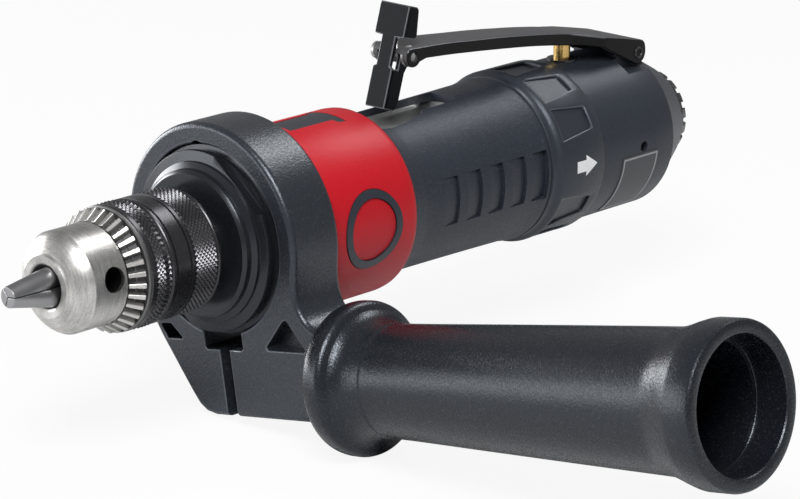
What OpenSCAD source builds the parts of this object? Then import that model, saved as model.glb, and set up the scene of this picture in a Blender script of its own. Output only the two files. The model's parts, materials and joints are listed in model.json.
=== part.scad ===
// Air drill with key chuck, planetary gearbox, vane motor, throttle lever and side handle.
// Millimetres. The origin is the centre of the chuck's front face.
// +X is the drilling direction, +Z is up toward the throttle lever, +Y is the side handle's side.

/* [Chuck] */
// Diameter over the chuck's gear ring
chuck_d = 34; // [33:0.5:36]
// Length of the chuck from its front face to the rear of its sleeve
chuck_len = 47.2; // [46.6:0.2:50]
// How far the closed jaws stand out of the front face
jaw_reach = 12.5; // [9:0.5:14]
// Diameter of the three chuck key holes
key_hole_d = 6.8; // [5:0.1:7]
// Teeth on the chuck's gear ring
gear_teeth = 32; // [24:1:36]
// Angle of the first key hole from the side, about the axis
chuck_turn = 8.7; // [-50:0.1:60]

/* [Gear train] */
// Tooth size of the planetary gears
tooth_module = 0.6; // [0.57:0.01:0.61]
// Width of the planet gears
planet_w = 12; // [8:0.5:12]

/* [Housing] */
// Diameter of the neck that carries the side handle bracket
neck_d = 51.88; // [51.6:0.02:52.4]
// How far the red cover band stands above the neck
cover_proud = 0.36; // [0.16:0.02:1]
// Length of the cover band
cover_len = 36.8; // [36:0.2:40]
// Diameter of the grip at its rear
grip_d = 47; // [46.4:0.2:48]
// Length of the grip
grip_len = 58.4; // [58:0.2:66]
// Diameter of the turning exhaust ring
ring_d = 50.8; // [49.6:0.2:52]
// Length of the exhaust ring
ring_len = 22.4; // [21:0.2:26]
// Diameter of the rear housing
tail_d = 48.4; // [47.6:0.2:49.2]
// Length of the rear housing up to its rounded end
tail_len = 34; // [33.4:0.2:37]
// Thread bore of the air inlet
inlet_bore_d = 11.12; // [9:0.02:11.4]

/* [Throttle] */
// Outer width of the throttle lever
lever_w = 13.4; // [13:0.2:14]
// Sheet thickness of the lever
lever_t = 1.8; // [1.4:0.1:1.8]
// Diameter of the brass throttle pin
throttle_pin_d = 5; // [4:0.1:5.4]
// Width of the latch's upper tab
tab_w = 11; // [10:0.2:12]

/* [Side handle] */
// Turn of the side handle up from level
handle_tilt = 10; // [-60:1:60]
// Width of the bracket along the tool
bracket_w = 17.7; // [17:0.1:19]
// Distance from the tool axis to the handle axis
handle_drop = 38.1; // [37.8:0.1:41]
// Length of the handle from flange to rim
handle_len = 130.5; // [100:0.5:150]
// Diameter of the handle's flange
flange_d = 41.4; // [38:0.2:43]
// Diameter of the handle's rim
rim_d = 42.2; // [40:0.2:44]
// Diameter of the clamp stud
stud_d = 8; // [6:0.1:8.4]

/* [Clearances] */
// Radial clearance of running fits
run_gap = 0.06; // [0.04:0.01:0.08]
// Gap between parts that pass each other
part_gap = 0.3; // [0.3:0.01:0.4]

/* [Hidden] */

// Stations along the axis, from the front face to the rear
x_key = -11.9;
x_gear = -16.3;
x_band = x_gear - 5.7;
x_chuck = -chuck_len;
x_nose = x_chuck - 4.8;
x_neck = x_nose - 7.6;
x_bracket = x_neck + 1.2;
x_cover = x_bracket - bracket_w - part_gap / 2;
x_grip = x_cover - cover_len;
x_ring = x_grip - grip_len;
x_tail = x_ring - ring_len;
x_cap = x_tail - tail_len;
x_rear = x_cap - 13;
x_end = x_rear - 5.3;

// Chuck
sleeve_r = chuck_d / 2 + 0.2;
sleeve_wall_r = sleeve_r - 1.65;
body_r = chuck_d / 2 - 3.23;
hub_r = 12.2;
nut_r = 14.2;
nut_x0 = x_gear - 2.5;
nut_x1 = nut_x0 - 5.4;
jaw_r = 3.1;
jaw_slope = 13;
jaw_rise = tan(jaw_slope);
jaw_side = 2.4;
jaw_tail_x = -22;
jaw_thread = 1.6;
bit_bore_r = 5.2;
bit_bore_x = -30.5;
spindle_tip_x = -34.4;
spindle_thread_r = 4.7;

// Distance of a jaw's outer line from the axis at station x
function jaw_edge(x) = jaw_side - x * jaw_rise + jaw_r / cos(jaw_slope);

// Housing, from the outside to the inside
neck_r = neck_d / 2;
cover_d = neck_d + 2 * cover_proud;
cover_wall = 1.5;
motor_wall = 4;
ring_wall = 5.2;
cover_in_r = cover_d / 2 - cover_wall;
spigot_r = 20.4;
shell_r = spigot_r + 0.5;
socket_r = shell_r - 2.4;
grip_r = grip_d / 2;
ring_r = ring_d / 2;
tail_r = tail_d / 2;
journal_ring_r = ring_r - ring_wall;
port_r = journal_ring_r - 6.2;
trough_z = shell_r - 3;
trough_half = 8.2;
bush_r = 9.4;

// Gear train: sun on the rotor, three planets on the spindle, ring in the case
sun_z = 9;
planet_z = 21;
ring_z = 51;
pressure = 25;
tooth_out = 0.8 * tooth_module;
tooth_in = 1.05 * tooth_module;
backlash = 0.035;
planet_cd = tooth_module * (sun_z + planet_z) / 2;
spindle_r = 7.5;
bearing_r = 16;
bearing_w = 9;
bearing_x0 = x_nose - 6;
bearing_x1 = bearing_x0 - bearing_w - 5;
carrier_r = 14.6;
carrier_x = bearing_x1 - bearing_w - 4;
carrier_w = 6;
planet_x = carrier_x - carrier_w - 0.4;
planet_pin_r = 2;
ring_gear_r = 19.45;
ring_gear_w = 15.4;
ring_gear_x = planet_x + 0.2;
pinion_w = ring_gear_w - 0.8;

// Motor
motor_r = spigot_r - motor_wall;
motor_x = ring_gear_x - ring_gear_w - 0.6;
plate_w = 7;
cylinder_x = motor_x - plate_w;
cylinder_w = 44;
rear_plate_x = cylinder_x - cylinder_w;
motor_end_x = rear_plate_x - plate_w;
bore_r = motor_r - 2.9;
rotor_r = bore_r - 1.4;
rotor_gap = 0.4;
bore_shift = bore_r - rotor_r - 0.1;
journal_r = 4;
small_bearing_r = 9;
small_bearing_w = 6;
vane_t = 1.5;
vanes = 5;
dowel_r = 1.2;
dowel_y = 2.2 - motor_r;

// Throttle: pivot of the lever, latch pin and brass pin, seen from the side as [x, z]
pivot = [x_cap + 2, tail_r - 0.4];
lever_front = [pivot[0] + 89.7, pivot[1] + 16.7];
lever_mid = [pivot[0] + 27.5, pivot[1] + 10];
lever_knee = [pivot[0] + 12, pivot[1] + 6.6];
latch_axis = [pivot[0] + 93.7, pivot[1] + 14.4];
throttle_x = pivot[0] + 22.8;
lever_pin_r = 1.9;
latch_pin_r = 1.5;
ear_half = 10.5;
ear_r = 3.8;
boss_half = ear_half - lever_t - 0.5;
fork_out = lever_w / 2;
fork_in = fork_out - lever_t;
latch_lean = 17.2;
latch_ahead = 5;
latch_t = 1.4;
latch_flange = 4.2;
latch_low = 15.8;
latch_high = 13.8;
tab_low = 4.6;
foot_w = 7.2;

// Side handle, in the bracket's own frame before its tilt
bracket_bore_r = neck_r + run_gap;
bracket_wall = 6;
bracket_r = bracket_bore_r + bracket_wall;
bracket_x_mid = x_bracket - bracket_w / 2;
bracket_low = handle_drop + 10.9;
flange_y = 39.3;
handle_end = flange_y + handle_len;
washer_t = 1;
washer_r = 12;

// A solid turned about the tool axis from [radius, x] points
module turned(points) rotate([0, 90, 0]) rotate_extrude($fn = 96) polygon(points);

// A tube about the tool axis between stations a and b, where b is farther to the rear
module tube(a, b, outer, inner) turned([[inner, b], [outer, b], [outer, a], [inner, a]]);

// A rod about the tool axis
module rod(a, b, r) translate([b, 0, 0]) rotate([0, 90, 0]) cylinder(h = a - b, r = r, $fn = 64);

// A rod along Y through [x, z]
module cross_rod(p, y0, y1, r) translate([p[0], y0, p[1]]) rotate([-90, 0, 0])
  cylinder(h = y1 - y0, r = r, $fn = 48);

// A rod along Z at station x
module post(x, z0, z1, r) translate([x, 0, z0]) cylinder(h = z1 - z0, r = r, $fn = 48);

// Turns its children to an angle about the tool axis, counted from +Y toward +Z
module around(a) rotate([a, 0, 0]) children();

// A side profile in [x, z] spread over the width y0 to y1
module side_plate(points, y0, y1) translate([0, y1, 0]) rotate([90, 0, 0])
  linear_extrude(height = y1 - y0) polygon(points);

// A torus about the tool axis
module torus(x, r, t) translate([x, 0, 0]) rotate([0, 90, 0]) rotate_extrude($fn = 96)
  translate([r, 0]) circle(r = t, $fn = 24);

// Involute gear outlines
function involute(a) = tan(a) - a * PI / 180;
function half_tooth(r, z, slack) =
  let (rp = tooth_module * z / 2, rb = rp * cos(pressure), a = acos(min(1, rb / r)))
  90 / z - slack / rp * 180 / PI + (involute(pressure) - involute(a)) * 180 / PI;
function polar(r, a) = [r * cos(a), r * sin(a)];
function gear_points(z, rise, fall, slack, steps) =
  let (
    rp = tooth_module * z / 2,
    tip = rp + rise,
    root = rp - fall,
    low = max(root + 0.02, rp * cos(pressure) + 0.001)
  )
  [for (i = [0:z - 1]) each concat(
    [polar(root, i * 360 / z - half_tooth(low, z, slack))],
    [for (k = [0:steps]) let (r = low + (tip - low) * k / steps)
      polar(r, i * 360 / z - half_tooth(r, z, slack))],
    [for (k = [steps:-1:0]) let (r = low + (tip - low) * k / steps)
      polar(r, i * 360 / z + half_tooth(r, z, slack))],
    [polar(root, i * 360 / z + half_tooth(low, z, slack))]
  )];

// Turn of a planet at angle t so that it meshes with the sun, and of the ring so that it meshes with both
function planet_turn(t) = t + 180 - (0.5 - t * sun_z / 360) * 360 / planet_z;
ring_turn = -(0 - planet_turn(0)) * planet_z / ring_z;

// Lays a gear outline drawn in XY, and anything above it, along the tool axis from station x to the rear
module along_axis(x, w) translate([x - w, 0, 0]) rotate([0, 90, 0]) linear_extrude(height = w) children();

// One jaw's own frame: its axis lies along X and crosses the front face beside the tool axis
module jaw_frame(i) around(chuck_turn + 60 + 120 * i) translate([0, jaw_side, 0])
  rotate([0, 0, -jaw_slope]) children();

module chuck_body() color("silver") {
  tail = x_chuck + 0.1;
  groove = 0.15 + 0.15;
  difference() {
    turned([
      [bit_bore_r + 0.6, 0], [8.43, 0], [10.7, -1.2], [body_r - 1.1, -3], [body_r, -4.8],
      [body_r, x_gear + 0.1], [hub_r, x_gear + 0.1], [hub_r, nut_x0 + 0.2],
      [jaw_edge(nut_x0) - groove, nut_x0 + 0.2], [jaw_edge(nut_x1) - groove, nut_x1 - 0.2],
      [hub_r, nut_x1 - 0.2], [hub_r, tail + 3], [sleeve_wall_r - 0.1, tail + 3],
      [sleeve_wall_r - 0.1, tail], [spindle_thread_r + 0.04, tail],
      [spindle_thread_r + 0.04, spindle_tip_x], [2.7, spindle_tip_x], [2.7, bit_bore_x],
      [bit_bore_r, bit_bore_x], [bit_bore_r, -0.6]
    ]);
    for (i = [0:2]) {
      jaw_frame(i) rotate([0, 90, 0]) translate([0, 0, -43.2])
        cylinder(h = 60, r = jaw_r + run_gap, $fn = 48);
      around(chuck_turn + 120 * i) translate([x_key, body_r - 6.2, 0]) rotate([-90, 0, 0])
        cylinder(h = 12, d = key_hole_d, $fn = 48);
    }
  }
}

module chuck_sleeve() color("dimgray") {
  gear_r = chuck_d / 2;
  gear_in = gear_r - 2.9;
  tooth_slope = atan2(3.7, gear_r - 0.1 - gear_in);
  difference() {
    turned([
      [hub_r + run_gap, x_gear], [gear_in, x_gear], [gear_r - 0.1, x_gear - 3.7], [gear_r, x_gear - 4.1],
      [gear_r, x_band], [sleeve_r, x_band - 0.2], [sleeve_r, x_chuck + 0.8], [sleeve_r - 0.7, x_chuck],
      [sleeve_wall_r, x_chuck], [sleeve_wall_r, nut_x1 - 0.3], [nut_r + 0.03, nut_x1 - 0.3],
      [nut_r + 0.03, nut_x0 + 0.2], [hub_r + run_gap, nut_x0 + 0.2]
    ]);
    for (i = [0:gear_teeth - 1]) around(chuck_turn + (i + 0.5) * 360 / gear_teeth)
      translate([x_gear, gear_in, 0]) rotate([0, 0, 90 + tooth_slope]) rotate([90, 0, 90])
        translate([0, 0, -3]) linear_extrude(height = 11)
          polygon([[0, -0.9], [1.5, 1.2], [-1.5, 1.2]]);
    for (x = [x_band - 8.9, x_band - 15.4]) torus(x, sleeve_r + 0.1, 0.35);
  }
}

module chuck_nut() color("goldenrod") difference() {
  turned([
    [jaw_edge(nut_x0) + 0.15, nut_x0], [nut_r, nut_x0], [nut_r, nut_x1], [jaw_edge(nut_x1) + 0.15, nut_x1]
  ]);
  around(chuck_turn) translate([nut_x1 - 1, -20, -0.2]) cube([8, 40, 0.4]);
}

module chuck_jaw(i) color("lightgray") {
  rear = jaw_tail_x / cos(jaw_slope);
  difference() {
    intersection() {
      jaw_frame(i) rotate([0, 90, 0]) union() {
        translate([0, 0, rear]) cylinder(h = 1.5, r1 = jaw_r - 0.9, r2 = jaw_r, $fn = 48);
        translate([0, 0, rear + 1.5]) cylinder(h = jaw_reach - rear, r = jaw_r, $fn = 48);
      }
      around(chuck_turn + 60 + 120 * i) translate([-60, 0, 0]) rotate([90, 0, 90])
        linear_extrude(height = 60 + jaw_reach)
          polygon([[0.12, 0], [30, 29.88 * tan(60)], [30, -29.88 * tan(60)]]);
    }
    for (k = [0:7]) jaw_frame(i) torus(rear + 2.6 + k * jaw_thread, jaw_r + 0.15, 0.5);
  }
}

module chuck_jaw_1() chuck_jaw(0);

module chuck_jaw_2() chuck_jaw(1);

module chuck_jaw_3() chuck_jaw(2);

module chuck_screw() color("dimgray") difference() {
  union() {
    rod(bit_bore_x + 3.4, bit_bore_x, 3.4);
    rod(bit_bore_x, spindle_tip_x - 8, 2.5);
  }
  along_axis(bit_bore_x + 3.5, 2.2) circle(r = 1.7, $fn = 6);
}

module spindle() color("lightsteelblue") difference() {
  union() {
    turned([
      [0, spindle_tip_x - 0.1], [spindle_thread_r - 0.5, spindle_tip_x - 0.1],
      [spindle_thread_r, spindle_tip_x - 0.8], [spindle_thread_r, x_chuck - 0.2],
      [spindle_r, x_chuck - 0.2], [spindle_r, bearing_x1 - bearing_w], [9.4, bearing_x1 - bearing_w],
      [9.4, carrier_x], [carrier_r, carrier_x], [carrier_r, carrier_x - carrier_w],
      [0, carrier_x - carrier_w]
    ]);
  }
  rod(spindle_tip_x + 1, spindle_tip_x - 9, 2.5);
  rod(carrier_x - 2, carrier_x - carrier_w - 1, 4.2);
  for (i = [0:2]) rotate([120 * i, 0, 0]) translate([0, 0, -planet_cd])
    rod(carrier_x + 1, carrier_x - carrier_w - 1, planet_pin_r);
}

module planet_pins() color("gray") for (i = [0:2]) rotate([120 * i, 0, 0]) translate([0, 0, -planet_cd])
  rod(carrier_x, planet_x - planet_w - 0.6, planet_pin_r);

module planet_gear(i) color("slategray") rotate([0, 90, 0]) translate([0, 0, planet_x - planet_w])
  translate([planet_cd * cos(120 * i), planet_cd * sin(120 * i), 0]) difference() {
    linear_extrude(height = planet_w) rotate(planet_turn(120 * i))
      polygon(gear_points(planet_z, tooth_out, tooth_in, backlash, 4));
    translate([0, 0, -1]) cylinder(h = planet_w + 2, r = planet_pin_r + run_gap, $fn = 48);
  }

module planet_gear_1() planet_gear(0);

module planet_gear_2() planet_gear(1);

module planet_gear_3() planet_gear(2);

module ring_gear() color("slategray") difference() {
  rod(ring_gear_x, ring_gear_x - ring_gear_w, ring_gear_r);
  along_axis(ring_gear_x + 1, ring_gear_w + 2) rotate(ring_turn)
    polygon(gear_points(ring_z, tooth_in, tooth_out, -backlash, 3));
}

// Ball bearing races and balls, front face at station x
module race_outer(x, w, inner, outer, ball_r, balls) {
  mid = (inner + outer) / 2;
  difference() {
    tube(x, x - w, outer, mid + 0.68 * ball_r);
    torus(x - w / 2, mid, ball_r + 0.02);
  }
  for (k = [0:balls - 1]) rotate([k * 360 / balls, 0, 0]) translate([x - w / 2, mid, 0])
    sphere(r = ball_r, $fn = 32);
}

module race_inner(x, w, inner, outer, ball_r) {
  mid = (inner + outer) / 2;
  difference() {
    tube(x, x - w, mid - 0.68 * ball_r, inner);
    torus(x - w / 2, mid, ball_r + run_gap);
  }
}

module spindle_bearing_outer() color("gainsboro") for (x = [bearing_x0, bearing_x1])
  race_outer(x, bearing_w, spindle_r, bearing_r, 2.4, 10);

module spindle_bearing_inner() color("gainsboro") for (x = [bearing_x0, bearing_x1])
  race_inner(x, bearing_w, spindle_r, bearing_r, 2.4);

module bearing_spacer() color("gray") tube(bearing_x0 - bearing_w, bearing_x1, bearing_r, 14.2);

module gear_case() color("#26282b") {
  neck_end = x_cover;
  flat_turn = 53.6;
  flat_r = neck_r - 3.54;
  nose_r = neck_r - 5.64;
  step_r = neck_r - 3.94;
  rim_r = neck_r - 1.04;
  bead_r = neck_r - 1.64;
  difference() {
    turned([
      [8.6, x_nose], [nose_r - 1, x_nose], [nose_r, x_nose - 0.8], [nose_r, x_nose - 2.4],
      [step_r, x_nose - 3], [step_r, x_nose - 4], [rim_r, x_nose - 4], [rim_r, x_nose - 5.8],
      [bead_r, x_nose - 6], [bead_r, x_neck],
      [neck_r, x_neck], [neck_r, neck_end], [cover_in_r - 0.02, neck_end], [cover_in_r - 0.02, x_grip],
      [spigot_r + 0.03, x_grip], [spigot_r + 0.03, motor_x + 0.4], [ring_gear_r + 0.02, motor_x + 0.4],
      [ring_gear_r + 0.02, ring_gear_x + 0.2], [17, ring_gear_x + 0.2],
      [17, bearing_x1 - bearing_w - 0.4], [bearing_r + 0.02, bearing_x1 - bearing_w - 0.4],
      [bearing_r + 0.02, bearing_x0], [8.6, bearing_x0]
    ]);
    for (s = [0, 180]) around(flat_turn + s) translate([x_nose - 6.05, flat_r, -20]) cube([3, 10, 40]);
  }
}

module cover_band() color("#c4242c") difference() {
  turned([
    [cover_in_r, x_cover], [cover_d / 2 - 0.4, x_cover], [cover_d / 2, x_cover - 0.5],
    [cover_d / 2, x_grip + 1], [cover_d / 2 - 0.6, x_grip + 0.15], [cover_in_r, x_grip + 0.15]
  ]);
  translate([x_cover - 28.4, -panel_half - 0.05, cover_d / 2 - 1.6]) cube([20, 2 * panel_half + 0.1, 4]);
}

// The dark panel let into the cover's top and the badge on its side
panel_half = 4.7;
module cover_panel() color("#3a3d41") intersection() {
  tube(x_cover, x_grip, cover_d / 2 + 0.05, cover_in_r);
  translate([x_cover - 28.35, -panel_half, cover_d / 2 - 1.55]) cube([19.9, 2 * panel_half, 4]);
}

module badge() color("#1c1d1f") intersection() {
  tube(x_cover, x_grip, cover_d / 2 + 0.35, cover_d / 2);
  cross_rod([(x_cover + x_grip) / 2 - 0.6, 0], 10, 40, 11);
}

module rotor() color("lightsteelblue") difference() {
  union() {
    along_axis(ring_gear_x - 0.4, pinion_w) polygon(gear_points(sun_z, tooth_out, tooth_in, backlash, 4));
    turned([
      [0, ring_gear_x - 0.4], [2, ring_gear_x - 0.4], [2, ring_gear_x - 0.4 - pinion_w],
      [journal_r, motor_x + 0.2], [journal_r, cylinder_x - rotor_gap], [rotor_r, cylinder_x - rotor_gap],
      [rotor_r, rear_plate_x + rotor_gap], [journal_r, rear_plate_x + rotor_gap],
      [journal_r, motor_end_x + 0.2], [0, motor_end_x + 0.2]
    ]);
  }
  for (k = [0:vanes - 1]) rotate([k * 360 / vanes, 0, 0])
    translate([rear_plate_x, 6.2, -vane_t / 2 - run_gap]) cube([cylinder_w, 20, vane_t + 2 * run_gap]);
}

module rotor_vanes() color("saddlebrown") for (k = [0:vanes - 1]) rotate([k * 360 / vanes, 0, 0])
  translate([rear_plate_x + rotor_gap, 6.4, -vane_t / 2])
    cube([cylinder_w - 2 * rotor_gap, rotor_r - 6.6, vane_t]);

module motor_cylinder() color("darkgray") difference() {
  rod(cylinder_x, rear_plate_x, motor_r);
  translate([0, bore_shift, 0]) rod(cylinder_x + 1, rear_plate_x - 1, bore_r);
  cross_dowel();
  for (k = [0:4]) translate([cylinder_x - 6 - k * 8, 10, -1.5]) cube([3, 10, 3]);
}

module cross_dowel() translate([0, dowel_y, 0]) rod(motor_x - 2, motor_end_x + 2, dowel_r);

module motor_dowel() color("gray") cross_dowel();

// End plate with a bearing pocket that opens at station x toward dir
module end_plate(x, pocket) difference() {
  rod(x, x - plate_w, motor_r);
  rod(x + 1, x - plate_w - 1, journal_r + 0.6);
  rod(pocket + small_bearing_w / 2 + 0.3, pocket - small_bearing_w / 2 - 0.3, small_bearing_r + 0.02);
  cross_dowel();
}

front_bearing_x = motor_x - 0.3 - small_bearing_w / 2;
rear_bearing_x = motor_end_x + 0.3 + small_bearing_w / 2;

module front_plate() color("gray") end_plate(motor_x, front_bearing_x + 0.2);

module rear_plate() color("gray") end_plate(rear_plate_x, rear_bearing_x - 0.2);

module rotor_bearing_outer() color("gainsboro") for (x = [front_bearing_x, rear_bearing_x])
  race_outer(x + small_bearing_w / 2, small_bearing_w, journal_r, small_bearing_r, 1.5, 8);

module rotor_bearing_inner() color("gainsboro") for (x = [front_bearing_x, rear_bearing_x])
  race_inner(x + small_bearing_w / 2, small_bearing_w, journal_r, small_bearing_r, 1.5);

// Space above the landing that the latch's foot swings through
module trough() side_plate([
  [latch_axis[0] + 12.4, shell_r + 9], [latch_axis[0] + 12.4, shell_r - 0.4], [latch_axis[0] + 5.8, trough_z],
  [latch_axis[0] - 17, trough_z], [latch_axis[0] - 20, shell_r + 0.6], [latch_axis[0] - 20, shell_r + 9]
], -trough_half, trough_half);

module motor_housing() color("#b9bcc0") difference() {
  turned([
    [motor_r + 0.03, motor_x + 0.2], [spigot_r, motor_x + 0.2], [spigot_r, x_grip - 0.1],
    [shell_r, x_grip - 0.1], [shell_r, x_ring + 0.1], [socket_r, x_ring + 0.1], [socket_r, motor_end_x],
    [motor_r + 0.03, motor_end_x]
  ]);
  trough();
}

module grip_sleeve() color("#2b2d30") {
  step_x = (x_grip - x_ring) * 0.157;
  difference() {
    turned([
      [shell_r + 0.02, x_grip - 0.15], [grip_r + 0.9, x_grip - 0.15], [grip_r + 0.5, x_grip - 1],
      [grip_r - 0.6, x_grip - 8.6], [grip_r, x_ring + 5.4], [grip_r + 0.6, x_ring + 1.4],
      [grip_r + 0.6, x_ring + 0.15], [shell_r + 0.02, x_ring + 0.15]
    ]);
    trough();
    for (k = [0:4], s = [0, 180]) around(s) translate([x_ring + 1.6 + k * step_x, 0, -6.1])
      linear_extrude(height = 12.2) polygon([
        [0, grip_r - 0.75], [5.6, grip_r - 0.1], [5.6, grip_r + 2], [0, grip_r + 2]
      ]);
  }
}

// Exhaust ring: lands at both ends run on the rear housing, the felt lies between them
module exhaust_ring() color("#2b2d30") {
  a = x_ring - 0.15;
  b = x_tail + 0.3;
  land = 3;
  difference() {
    turned([
      [journal_ring_r + run_gap, a], [ring_r - 1.6, a], [ring_r - 1, a - 0.8], [ring_r - 1, a - 2.6],
      [ring_r, a - 4], [ring_r, b + 0.8], [ring_r - 0.7, b], [journal_ring_r + run_gap, b],
      [journal_ring_r + run_gap, b + land], [ring_r - 2.2, b + land], [ring_r - 2.2, a - land],
      [journal_ring_r + run_gap, a - land]
    ]);
    for (k = [-2:2]) around(235 + k * 16) translate([(a + b) / 2 - 6, 15, -1.4]) cube([12, 20, 2.8]);
  }
}

module muffler() color("#8d8a80") tube(x_ring - 4, x_tail + 4, ring_r - 2.5, journal_ring_r + 0.02);

module ring_seal() color("#141414") torus(x_ring - 1.6, journal_ring_r - 0.75, 0.72);

module rear_housing() color("#303236") {
  bore_in = 3.8;
  cap_r = tail_r - 8.4;
  difference() {
    union() {
      turned([
        [0, motor_end_x - 0.1], [socket_r - 0.05, motor_end_x - 0.1], [socket_r - 0.05, x_ring],
        [journal_ring_r, x_ring], [journal_ring_r, x_tail], [tail_r - 0.6, x_tail],
        [tail_r, x_tail - 0.6], [tail_r, x_cap + 1.6], [tail_r - 0.8, x_cap + 1],
        [cap_r + 0.5, x_rear + 0.7], [cap_r - 0.2, x_rear], [0, x_rear]
      ]);
      intersection() {
        union() {
          cross_rod(pivot, -boss_half, boss_half, 3.7);
          translate([pivot[0] - 3.7, -boss_half, 10]) cube([11.4, 2 * boss_half, pivot[1] - 10]);
        }
        translate([pivot[0] - 10, -40, 0]) cube([30, 80, pivot[1] + 3.7]);
      }
    }
    torus(x_ring - 1.6, journal_ring_r, 1.5);
    cross_rod(pivot, -30, 30, lever_pin_r);
    // Shoulders beside the boss that the lever's ears stand over
    for (s = [0, 1]) mirror([0, s, 0]) translate([pivot[0] - 30, boss_half, pivot[1] - ear_r - 0.5])
      cube([39, 30, 30]);
    // Inlet bushing, inlet passage, valve chamber, supply passage
    rod(x_cap - 1, x_rear - 1, bush_r + 0.03);
    translate([0, 0, -2.4]) rod(throttle_x, x_cap - 2, bore_in);
    post(throttle_x, -30, 2, 6);
    post(throttle_x, -30, -15, 7.03);
    post(throttle_x, 1.9, 4, 6);
    post(throttle_x, 3.9, 10, 4.4);
    post(throttle_x, 9.9, 40, 4.43);
    translate([0, 0, 6.6]) rod(motor_end_x + 1, throttle_x, 2.8);
    // Exhaust passages and their windows under the ring
    for (k = [0:5]) rotate([k * 60 + 30, 0, 0]) {
      translate([0, port_r, 0]) rod(motor_end_x + 1, x_tail + 6, 2.8);
      translate([x_tail + 6, port_r - 2, -2.4]) cube([9, 12, 4.8]);
    }
    cross_rod([throttle_x - 9.5, 0], tail_r - 4.5, tail_r + 5, 1.55);
  }
}

module stop_pin() color("gray") cross_rod([throttle_x - 9.5, 0], tail_r - 4.5, tail_r - 1.2, 1.53);

module label_plate() color("#5b5e63") around(-53.5) intersection() {
  difference() {
    rod(throttle_x, throttle_x - 16.2, tail_r + 0.2);
    rod(throttle_x + 1, throttle_x - 20, tail_r);
  }
  translate([throttle_x - 20, 0, 0]) rotate([90, 0, 90]) linear_extrude(height = 40)
    polygon([[0, 0], [40, 0], [40 * cos(49), 40 * sin(49)]]);
}

// Lever: a channel bent from sheet, from its side outline and its plan, less the same one sheet inside
lever_back = [pivot[0] - 3.4, pivot[1] + 2.7];
lever_wall = 3.1;
function lever_side(drop) = [
  [lever_front[0], lever_front[1] - drop], [lever_mid[0], lever_mid[1] - drop],
  [lever_knee[0], lever_knee[1] - drop], [pivot[0], pivot[1] + 3.6 - drop],
  [lever_back[0], lever_back[1] - drop]
];
module lever_plan(inset, z0) translate([0, 0, z0]) linear_extrude(height = 60) polygon([
  [lever_front[0] + 20, fork_out - inset], [lever_mid[0] - 4, fork_out - inset],
  [lever_knee[0], ear_half - inset], [pivot[0] - 20, ear_half - inset],
  [pivot[0] - 20, -ear_half + inset], [lever_knee[0], -ear_half + inset],
  [lever_mid[0] - 4, -fork_out + inset], [lever_front[0] + 20, -fork_out + inset]
]);

module throttle_lever() color("#1b1c1e") difference() {
  union() {
    intersection() {
      union() {
        side_plate(concat(lever_side(0), [
          [pivot[0] - 3.4, pivot[1] - 2.4], [pivot[0] + 2, pivot[1] - 2.6],
          [lever_knee[0], lever_knee[1] - 4.2], [lever_mid[0], lever_mid[1] - lever_wall],
          [lever_front[0] + 1.4, lever_front[1] - lever_wall]
        ]), -20, 20);
        cross_rod(pivot, -20, 20, ear_r);
      }
      lever_plan(0, 0);
    }
    for (s = [-1, 1]) translate([0, s * (fork_out + fork_in) / 2, 0]) {
      cross_rod(latch_axis, -lever_t / 2, lever_t / 2, 2.9);
      side_plate([
        [lever_front[0] - 2, lever_front[1]], [lever_front[0] - 2, lever_front[1] - lever_wall],
        [latch_axis[0] - 1, latch_axis[1] - 2.7], [latch_axis[0] - 0.4, latch_axis[1] + 2.85]
      ], -lever_t / 2, lever_t / 2);
    }
  }
  intersection() {
    side_plate(concat(lever_side(lever_t), [
      [lever_back[0] - 6, lever_back[1] - lever_t], [lever_back[0] - 6, 0], [lever_front[0] + 9, 0],
      [lever_front[0] + 9, lever_front[1] - lever_t]
    ]), -20, 20);
    lever_plan(lever_t, -1);
  }
  translate([pivot[0] - 10, lever_t - ear_half, pivot[1] - 8]) cube([15.2, 2 * (ear_half - lever_t), 20]);
  cross_rod(pivot, -30, 30, lever_pin_r + run_gap);
  cross_rod(latch_axis, -30, 30, latch_pin_r);
}

module lever_pin() color("gray") cross_rod(pivot, -ear_half - 0.4, ear_half + 0.4, lever_pin_r);

module latch_pin() color("silver") {
  cross_rod(latch_axis, -fork_out - 0.6, fork_out + 0.6, latch_pin_r);
  cross_rod(latch_axis, -fork_out - 1.6, -fork_out - 0.1, latch_pin_r + 1);
}

// Latch: its own frame has the pin at the origin, the plate ahead of it and the foot below
module latch_frame() translate([latch_axis[0], 0, latch_axis[1]]) rotate([0, -latch_lean, 0]) children();

module latch() color("#1b1c1e") latch_frame() difference() {
  plate_x = latch_ahead - latch_t;
  foot_half = foot_w / 2;
  tab_half = tab_w / 2;
  union() {
    translate([plate_x, -foot_half, -latch_low]) cube([latch_t, foot_w, latch_low + tab_low + 1]);
    translate([plate_x, -tab_half, tab_low]) cube([latch_t, tab_w, latch_high - tab_low]);
    for (s = [-1, 1]) {
      translate([0, s * (foot_half - latch_t / 2), 0]) side_plate([
        [latch_ahead, -latch_low], [plate_x - latch_flange + 1, -latch_low],
        [plate_x - latch_flange, -latch_low + 2], [plate_x - latch_flange, -4], [-2.2, -1.4], [-2.4, 0.6],
        [-0.6, 2.5], [plate_x, 3]
      ], -latch_t / 2, latch_t / 2);
      translate([0, s * (tab_half - latch_t / 2), 0]) side_plate([
        [latch_ahead, tab_low], [plate_x - latch_flange + 0.6, tab_low + 0.4],
        [plate_x - latch_flange, tab_low + 1.2], [plate_x - latch_flange + 1.4, latch_high - 0.6],
        [plate_x - latch_flange + 2.2, latch_high], [latch_ahead, latch_high]
      ], -latch_t / 2, latch_t / 2);
    }
  }
  cross_rod([0, 0], -20, 20, latch_pin_r + run_gap);
}

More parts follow.
